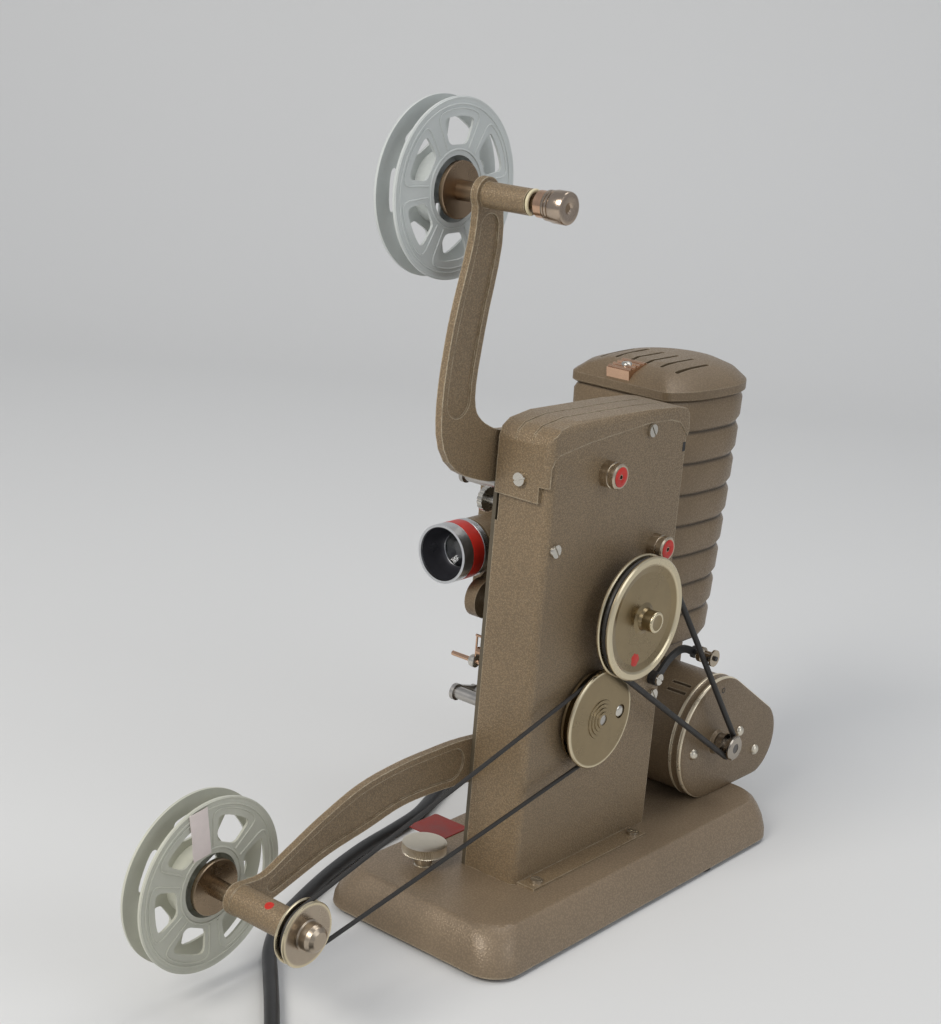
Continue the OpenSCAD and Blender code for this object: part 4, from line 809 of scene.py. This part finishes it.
class PROJECTOR_OT_reels(bpy.types.Operator):
    """Adds the moulded beads of the two reels and the paper strip"""
    bl_idname = "projector.reels"
    bl_label = "Reel beads and paper"

    faces = (("near", -27.2, 0), ("far", -38.6, 30))
    rings = ((34.9, 0.45), (16.4, 0.5))
    window_side = ((17.6, 22.5), (24, 23.6), (29.5, 24.2), (31.6, 23.4), (32.7, 21.6),
                   (33.1, 19.4))

    def execute(self, context):
        for name, centre, turn, body, finish, slot in (
                ("supply", SUPPLY_SPINDLE, 32, "supply_reel_body", "reel grey", "reel_grey"),
                ("takeup", TAKEUP_SPINDLE, 7, "takeup_reel_body", "reel yellowed", "reel_cream")):
            for face, x, shift in self.faces:
                beads = self.sector_beads(centre, turn + shift, x)
                beads += [tube("ring", arc_points(centre, reach, 0, 360, 96, x)[:-1], size,
                               closed=True, sides=8) for reach, size in self.rings]
                add_joined(f"{name}_reel_beads_{face}", beads, finish, body)
        self.make_label()
        return {"FINISHED"}

    def sector_beads(self, centre, turn, x):
        """A bead round each window's panel, open towards the hub."""
        made = []
        for middle in range(turn, turn + 360, 60):
            near, far = ([polar(centre, reach, middle + side * angle, x)
                          for reach, angle in self.window_side] for side in (-1, 1))
            over = arc_points(centre, 33.2, middle - 16, middle + 16, 12, x)
            made.append(tube("bead", near + over + far[::-1], 0.42, sides=8))
        return made

    def make_label(self):
        """Blank paper strip stuck across the take-up reel's near face."""
        work = bmesh.new()
        face, length, width = -27, 21.5, 9.5
        lean = radians(99)
        along = Vector((0, cos(lean), sin(lean)))
        side = Vector((0, -sin(lean), cos(lean)))
        start = Vector((face, TAKEUP_SPINDLE[0] - 6.2, TAKEUP_SPINDLE[1] + 14.6))
        rows = []
        for i in range(11):
            rows.append([])
            for j in range(5):
                place = start + along * (length * i / 10) + side * (width * (j / 4 - 0.5))
                place.x = face + (0.42 + 0.18 * sin(i * 0.9) * sin(j * 1.1))
                rows[-1].append(work.verts.new(place * MM))
        skin(work, rows, closed=False)
        label = add_object("paper_label", mesh_from("paper_label", work, 60), "paper",
                           "takeup_reel_body")
        label.modifiers.new("Thickness", "SOLIDIFY").thickness = 0.00015


class PROJECTOR_OT_marks(bpy.types.Operator):
    """Adds the red oiling marks and the bare red plate"""
    bl_idname = "projector.marks"
    bl_label = "Oiling marks and plate"

    def execute(self, context):
        for name, centre in (("shutter", SHUTTER_SHAFT), ("feed", UPPER_SHAFT)):
            add_lathe(f"{name}_oiling_mark", "red paint", "chassis", "nickel",
                      [(0.9, 28.6), (1.3, 29.15), (2, 29.45), (3.4, 29.5), (4.3, 29.3),
                       (4.6, 29.1)], centre, turns=40, ends=False)
        self.make_pulley_mark(context.scene.projector_sizes.mark_radius / MM)
        self.make_boss_mark()
        self.make_plate()
        return {"FINISHED"}

    def make_pulley_mark(self, radius):
        """A dab of paint with an uneven outline."""
        rings = []
        for grow, x in ((1, 35.1), (0.86, 35.35)):
            ring = []
            for angle in angles(36):
                wave = 1 + 0.1 * sin(3 * angle + 1) + 0.06 * sin(7 * angle + 2)
                reach = radius * grow * wave
                ring.append((x, MAIN_SHAFT[0] - 3.6 + reach * cos(angle),
                             MAIN_SHAFT[1] - 19.6 + 1.15 * reach * sin(angle)))
            rings.append(ring)
        add_object("pulley_mark", build("pulley_mark", rings, (-1,), 40), "red paint",
                   "main_drive")

    def make_boss_mark(self):
        """The spot on the lower spindle's boss, round its oil hole."""
        boss, proud, middle = 6.42, 6.72, (8.5, 112)
        rings = [[polar(TAKEUP_SPINDLE, lift,
                        middle[1] + degrees(reach * sin(angle) / 6.5),
                        middle[0] + reach * cos(angle))
                  for angle in angles(24)]
                 for reach, lift in ((0, boss), (0.9, proud), (1.7, proud), (2.1, boss))]
        add_object("boss_mark", build("boss_mark", rings, weld=WELD), "red paint", "chassis")

    def make_plate(self):
        """The bare red plate on the base, where a label was."""
        top = box_mm("base_casting")[1][2]
        middle, half, round_off = (-41.5, -43.5), 10.5, 1.5
        corners = []
        for start, across, along in ((0, 1, 1), (90, -1, 1), (180, -1, -1), (270, 1, -1)):
            for a in (radians(start + 22.5 * k) for k in range(5)):
                corners.append((across * (half - round_off) + round_off * cos(a),
                                along * (half - round_off) + round_off * sin(a)))
        rings = []
        for inset, z in ((0, top - 0.05), (0, top + 0.25), (0.25, top + 0.4)):
            ring = []
            for x, y in corners:
                away = Vector((x, y)).normalized() * inset
                ring.append((middle[0] + x - away.x, middle[1] + y - away.y, z))
            rings.append(ring)
        add_object("red_plate", build("red_plate", rings, (-1,), 30), "plate paint", "chassis")


class PROJECTOR_OT_knob(bpy.types.Operator):
    """Makes the knurled head of the tilt screw"""
    bl_idname = "projector.knob"
    bl_label = "Tilt screw"

    def execute(self, context):
        low, high = box_mm("tilt_knob")
        foot, top = low[2], high[2]
        slim = 0.96
        head = [(0, 24.62), (4.4, 24.62), (6.2, 25), (8.2, 25.7), (9.7, 26.4),
                (10.75, 27.1), (10.85, 27.4), (10.85, 31.1), (10.75, 31.5), (10.3, 31.7),
                (9.9, 31.9), (8.6, 32.3), (6, 32.7), (3, 32.9), (0, 33)]
        head = [(r * slim, min(z, top)) for r, z in head]
        shank = [(0, foot), (3, foot), (4, foot + 1)]
        thread = foot + 1
        while thread < 20.5:
            shank += [(4.35, thread + 0.35), (3.8, thread + 0.75)]
            thread += 0.8
        shank += [(4.2, 21.6), (4.2, 25.2), (0, 25.2)]
        knob = add_joined("tilt_knob_detail", [
            lathe("head", head, TILT_SCREW, "Z", 288, (72, 0.55, 27.3, 31.2)),
            lathe("shank", shank, TILT_SCREW, "Z", 32)], "satin nickel", "tilt_screw")
        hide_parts("tilt_knob")
        return {"FINISHED"}


class PROJECTOR_OT_lens(bpy.types.Operator):
    """Makes the lens's painted ring and the inside of its hood"""
    bl_idname = "projector.lens"
    bl_label = "Lens trim"

    def execute(self, context):
        low, high = box_mm("lens_barrel")
        axis = ((low[0] + high[0]) / 2, (low[2] + high[2]) / 2)
        reach = (high[0] - low[0]) / 2
        add_lathe("lens_ring", "red paint", "lens", "lens_metal",
                  [(reach - 0.5, -61.1), (reach + 0.02, -61), (reach + 0.04, -60.6),
                   (reach + 0.04, -54.2), (reach + 0.02, -53.9), (reach - 0.5, -53.8)],
                  axis, "Y", 96, ends=False)
        front = low[1]
        mouth, throat, seat = 12.2, 9.25, -57.7
        taper = (throat - mouth) / (seat - front)
        inside = [(mouth + taper * step, front + step) for step in (0.9, 3.5, 6.5)]
        inside += [(throat, seat), (throat - 1.3, seat + 1.2)]
        add_lathe("lens_hood_inside", "hood paint", "lens", "lens_metal", inside, axis, "Y", 96,
                  ends=False)
        return {"FINISHED"}


class PROJECTOR_OT_lamp(bpy.types.Operator):
    """Makes the lamp's filament with its posts and leads"""
    bl_idname = "projector.lamp"
    bl_label = "Lamp"

    def execute(self, context):
        low, high = box_mm("lamp_bulb")
        x, y = (low[0] + high[0]) / 2, (low[1] + high[1]) / 2
        knee, lead, coil_z = 150, 158, 162
        wires = [tube("post", [(x + side, y, low[2] + 6), (x + side, y, knee),
                               (x + side * 1.3, y, lead)], 0.35, sides=8)
                 for side in (-3.2, 3.2)]
        coil = [(x - 4.2 + 8.4 * k / 160, y + 1.3 * cos(k * 0.9),
                 coil_z + 1.3 * sin(k * 0.9)) for k in range(161)]
        wires.append(tube("filament", coil, 0.18, sides=6))
        wires += [tube("lead", [(x + side, y, lead), (x + side, y, coil_z)], 0.3, sides=6)
                  for side in (-4.2, 4.2)]
        add_joined("lamp_filament", wires, "steel", "chassis")
        return {"FINISHED"}


class PROJECTOR_OT_collar(bpy.types.Operator):
    """Makes the supply spindle's spring ring, bush and finger nut"""
    bl_idname = "projector.collar"
    bl_label = "Supply spindle end"

    def execute(self, context):
        centre = SUPPLY_SPINDLE
        ring = arc_points(centre, 4.9, 250, -40, 40, 14.1)
        add_object("spring_ring", tube("spring_ring", ring, 0.8), "cream enamel", "supply")
        add_lathe("spindle_bush", "copper", "supply", "copper",
                  [(2.9, 17.2), (5.3, 17.2), (5.6, 17.5), (5.6, 21.3), (5.3, 21.6),
                   (2.9, 21.6)], centre, turns=72)
        neck = lathe("neck", [(2.9, 13.3), (3.3, 13.4), (3.3, 17.2), (2.9, 17.3)], centre)
        nut = [(2.9, 21.6), (6.1, 21.7), (6.3, 22), (6.3, 23), (5.9, 23.2), (5.9, 23.5),
               (6.4, 23.7), (6.4, 24.6), (6, 24.8), (6, 25.1), (6.7, 25.4), (6.8, 25.8),
               (6.8, 31.2), (6.5, 31.8), (6, 32), (4.4, 32), (2.4, 31.7), (1.9, 31.2),
               (1.2, 30.6), (0, 30.4)]
        made = add_joined("finger_nut", [lathe("nut", nut, centre, turns=72), neck],
                          "supply nut", "supply")
        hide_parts("supply_collar")
        return {"FINISHED"}


class PROJECTOR_OT_motor(bpy.types.Operator):
    """Makes the motor's domed end bell, its worn seam with painted highlights, and its rivets"""
    bl_idname = "projector.motor"
    bl_label = "Motor end bell"

    floor = 20.5
    can = (93, 52, 31.3)
    tail = (133.5, 39.5, 19.5)

    def outline(self, grow):
        """The can's outline in Y and Z, grown by a margin and flat on the base."""
        y1, z1, r1 = self.can
        y2, z2, r2 = self.tail
        r1, r2 = r1 + grow, r2 + grow
        toward = degrees(atan2(z2 - z1, y2 - y1))
        spread = degrees(acos((r1 - r2) / hypot(y2 - y1, z2 - z1)))
        points = arc_points((y1, z1), r1, toward + spread, toward + 360 - spread, 72, 0)
        points += arc_points((y2, z2), r2, toward - spread, toward + spread, 40, 0)[1:-1]
        return [(y, max(z, self.floor)) for _, y, z in points]

    def execute(self, context):
        rows = ((17.2, 0.05), (17.35, 0.5), (17.8, 0.85), (18.5, 0.95), (19.2, 0.8),
                (19.7, 0.5), (20, 0.42), (22, 0.42), (22.4, 0.55), (22.9, 0.8),
                (23.5, 0.85), (24.1, 0.6), (24.5, 0.2), (24.85, -0.6), (25.05, -1.6),
                (25.15, -2.8), (25.2, -4.5), (25.2, -9))
        bell = build("bell", [[(x, y, z) for y, z in self.outline(grow)] for x, grow in rows],
                     (-1, 0), 40)
        boss = lathe("boss", [(0, 25), (6.6, 25.1), (6.2, 25.7), (6, 26.4), (5.6, 26.9),
                              (5, 27), (0, 27)], MOTOR_SHAFT, turns=48)
        made = add_joined("motor_bell_detail", [bell, boss], ["motor enamel", "worn metal"],
                          "chassis")
        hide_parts("motor_end_bell")
        # Two bands round the seam take the bright worn metal: bare metal where the paint has gone,
        # and also painted highlights on the seam's two edges.
        for face in made.data.polygons:
            x = face.center.x / MM
            face.material_index = int(face_reach(face, MOTOR_SHAFT) > 12
                                      and (17.3 < x < 19.4 or 22.6 < x < 24.6))
        rivets = [lathe("rivet", [(0, 25), (2.9, 25.1), (2.75, 25.7), (2.3, 26.4), (1.5, 26.95),
                                  (0.7, 27.15), (0, 27.2)], place, turns=32)
                  for place in ((115.5, 49.8), (72.1, 48.6), (133.4, 34.6))]
        add_joined("bell_rivets", rivets, "satin nickel", "chassis")
        # Black paint stands in for the shade inside the oil hole.
        add_lathe("oil_hole_painted_shade", "black paint", "chassis", "lamp_enamel",
                  [(1.5, 25.1), (1.5, 25.3), (1.1, 25.35), (0.9, 24.6), (0, 24.5)],
                  (94.3, 77.6), turns=24)
        return {"FINISHED"}


class PROJECTOR_OT_castings(bpy.types.Operator):
    """Smooths the painted castings across their small facets"""
    bl_idname = "projector.castings"
    bl_label = "Castings"

    def execute(self, context):
        for node, finish, slot in (
                ("base_casting", "base enamel", "base_enamel"),
                ("lamp_house", "rib enamel", "lamp_enamel"),
                ("lamp_cap", "lamp enamel", "lamp_enamel"),
                ("motor_can", "motor enamel", "lamp_enamel"),
                ("column_cover", "column enamel", "column_enamel"),
                ("top_cap", "column enamel", "column_enamel")):
            smooth_copy(node, finish)
        return {"FINISHED"}


class PROJECTOR_OT_hubs(bpy.types.Operator):
    """Makes the main hub's end, the clutch stud, the clip's screw, the guide's nut and the slot's
    painted shade
    """
    bl_idname = "projector.hubs"
    bl_label = "Hub, stud, screw, nut and slot"

    def execute(self, context):
        land = 3.7
        cap = add_lathe("pulley_hub_cap", ["main pulley", "pulley edge and highlight"], "main_drive",
                        "pulley_metal",
                        [(5, 41.7), (5.06, 42.1), (4.95, 42.5), (4.6, 42.8), (4.1, 42.9),
                         (land, 42.8), (0, 42.76)], MAIN_SHAFT, turns=48, ends=False)
        # The hub's outer edge takes the bright rim colour: polished metal and a painted highlight.
        for face in cap.data.polygons:
            face.material_index = int(face_reach(face, MAIN_SHAFT) > land)
        low, high = box_mm("cap_clip")
        seat = high[2] - 2.4
        for name, body, profile, centre, axis in (
                ("clutch_stud", "lower_drive",
                 [(2.9, 27.1), (2.9, 27.8), (2.5, 28.2), (1.6, 28.5), (0.6, 28.6), (0, 28.6)],
                 (-3.3, 92.6), "X"),
                ("clip_screw", "lamp_lid",
                 [(2.9, seat), (2.9, seat + 1.1), (2.6, seat + 1.7), (1.8, seat + 2.2),
                  (0.8, seat + 2.4), (0, seat + 2.4)],
                 ((low[0] + high[0]) / 2, (low[1] + high[1]) / 2), "Z"),
                ("guide_nut", "chassis",
                 [(1.1, -16.4), (2.2, -16.2), (2.8, -15.5), (2.95, -14.4), (2.95, -13),
                  (2.3, -12.6), (1.1, -12.6)], (-61.5, 118.5), "X")):
            add_lathe(name, "nickel plate", body, "nickel", profile, centre, axis, 40, ends=False)
        self.paint_slot_shade()
        return {"FINISHED"}

    def paint_slot_shade(self):
        """A black patch at the back edge of the column's cover, painted as the shade of a short
        slot.
        """
        across, up, outer = 37.2, 212.2, 21
        corners = ((-1.1, -2.2), (1.1, -2.2), (1.1, 2.2), (-1.1, 2.2))
        rings = [[(outer + out, across + a * inset, up + b * inset) for a, b in corners]
                 for inset, out in ((1, -0.1), (1, 0.1), (0.85, 0.16), (0.7, 0.05))]
        add_object("painted_slot_shade", build("painted_slot_shade", rings, (-1,), 20), "black paint", "chassis")


OPERATORS = (
    PROJECTOR_OT_stage, PROJECTOR_OT_cord, PROJECTOR_OT_finishes, PROJECTOR_OT_reels,
    PROJECTOR_OT_marks, PROJECTOR_OT_knob, PROJECTOR_OT_lens, PROJECTOR_OT_lamp,
    PROJECTOR_OT_collar, PROJECTOR_OT_motor, PROJECTOR_OT_castings, PROJECTOR_OT_hubs)


class PROJECTOR_PT_panel(bpy.types.Panel):
    """Lists the projector's values and the steps that dress it"""
    bl_idname = "PROJECTOR_PT_panel"
    bl_label = "Projector"
    bl_space_type = "VIEW_3D"
    bl_region_type = "UI"
    bl_category = "Projector"

    def draw(self, context):
        scene = context.scene
        for group in (scene.projector_finish, scene.projector_sizes, scene.projector_stage):
            box = self.layout.box()
            for name in group.bl_rna.properties.keys():
                if name not in ("rna_type", "name"):
                    box.prop(group, name)
        for operator in OPERATORS:
            self.layout.operator(operator.bl_idname)


GROUPS = (("projector_finish", ProjectorFinish), ("projector_sizes", ProjectorSizes),
          ("projector_stage", ProjectorStage))
CLASSES = tuple(group for _, group in GROUPS) + OPERATORS + (PROJECTOR_PT_panel,)


def register():
    for made in CLASSES:
        bpy.utils.register_class(made)
    for name, group in GROUPS:
        setattr(bpy.types.Scene, name, bpy.props.PointerProperty(type=group))


def unregister():
    for name, _ in GROUPS:
        delattr(bpy.types.Scene, name)
    for made in reversed(CLASSES):
        bpy.utils.unregister_class(made)


def main():
    register()
    make_finishes()
    for operator in OPERATORS:
        area, name = operator.bl_idname.split(".")
        getattr(getattr(bpy.ops, area), name)()


if __name__ == "__main__":
    main()
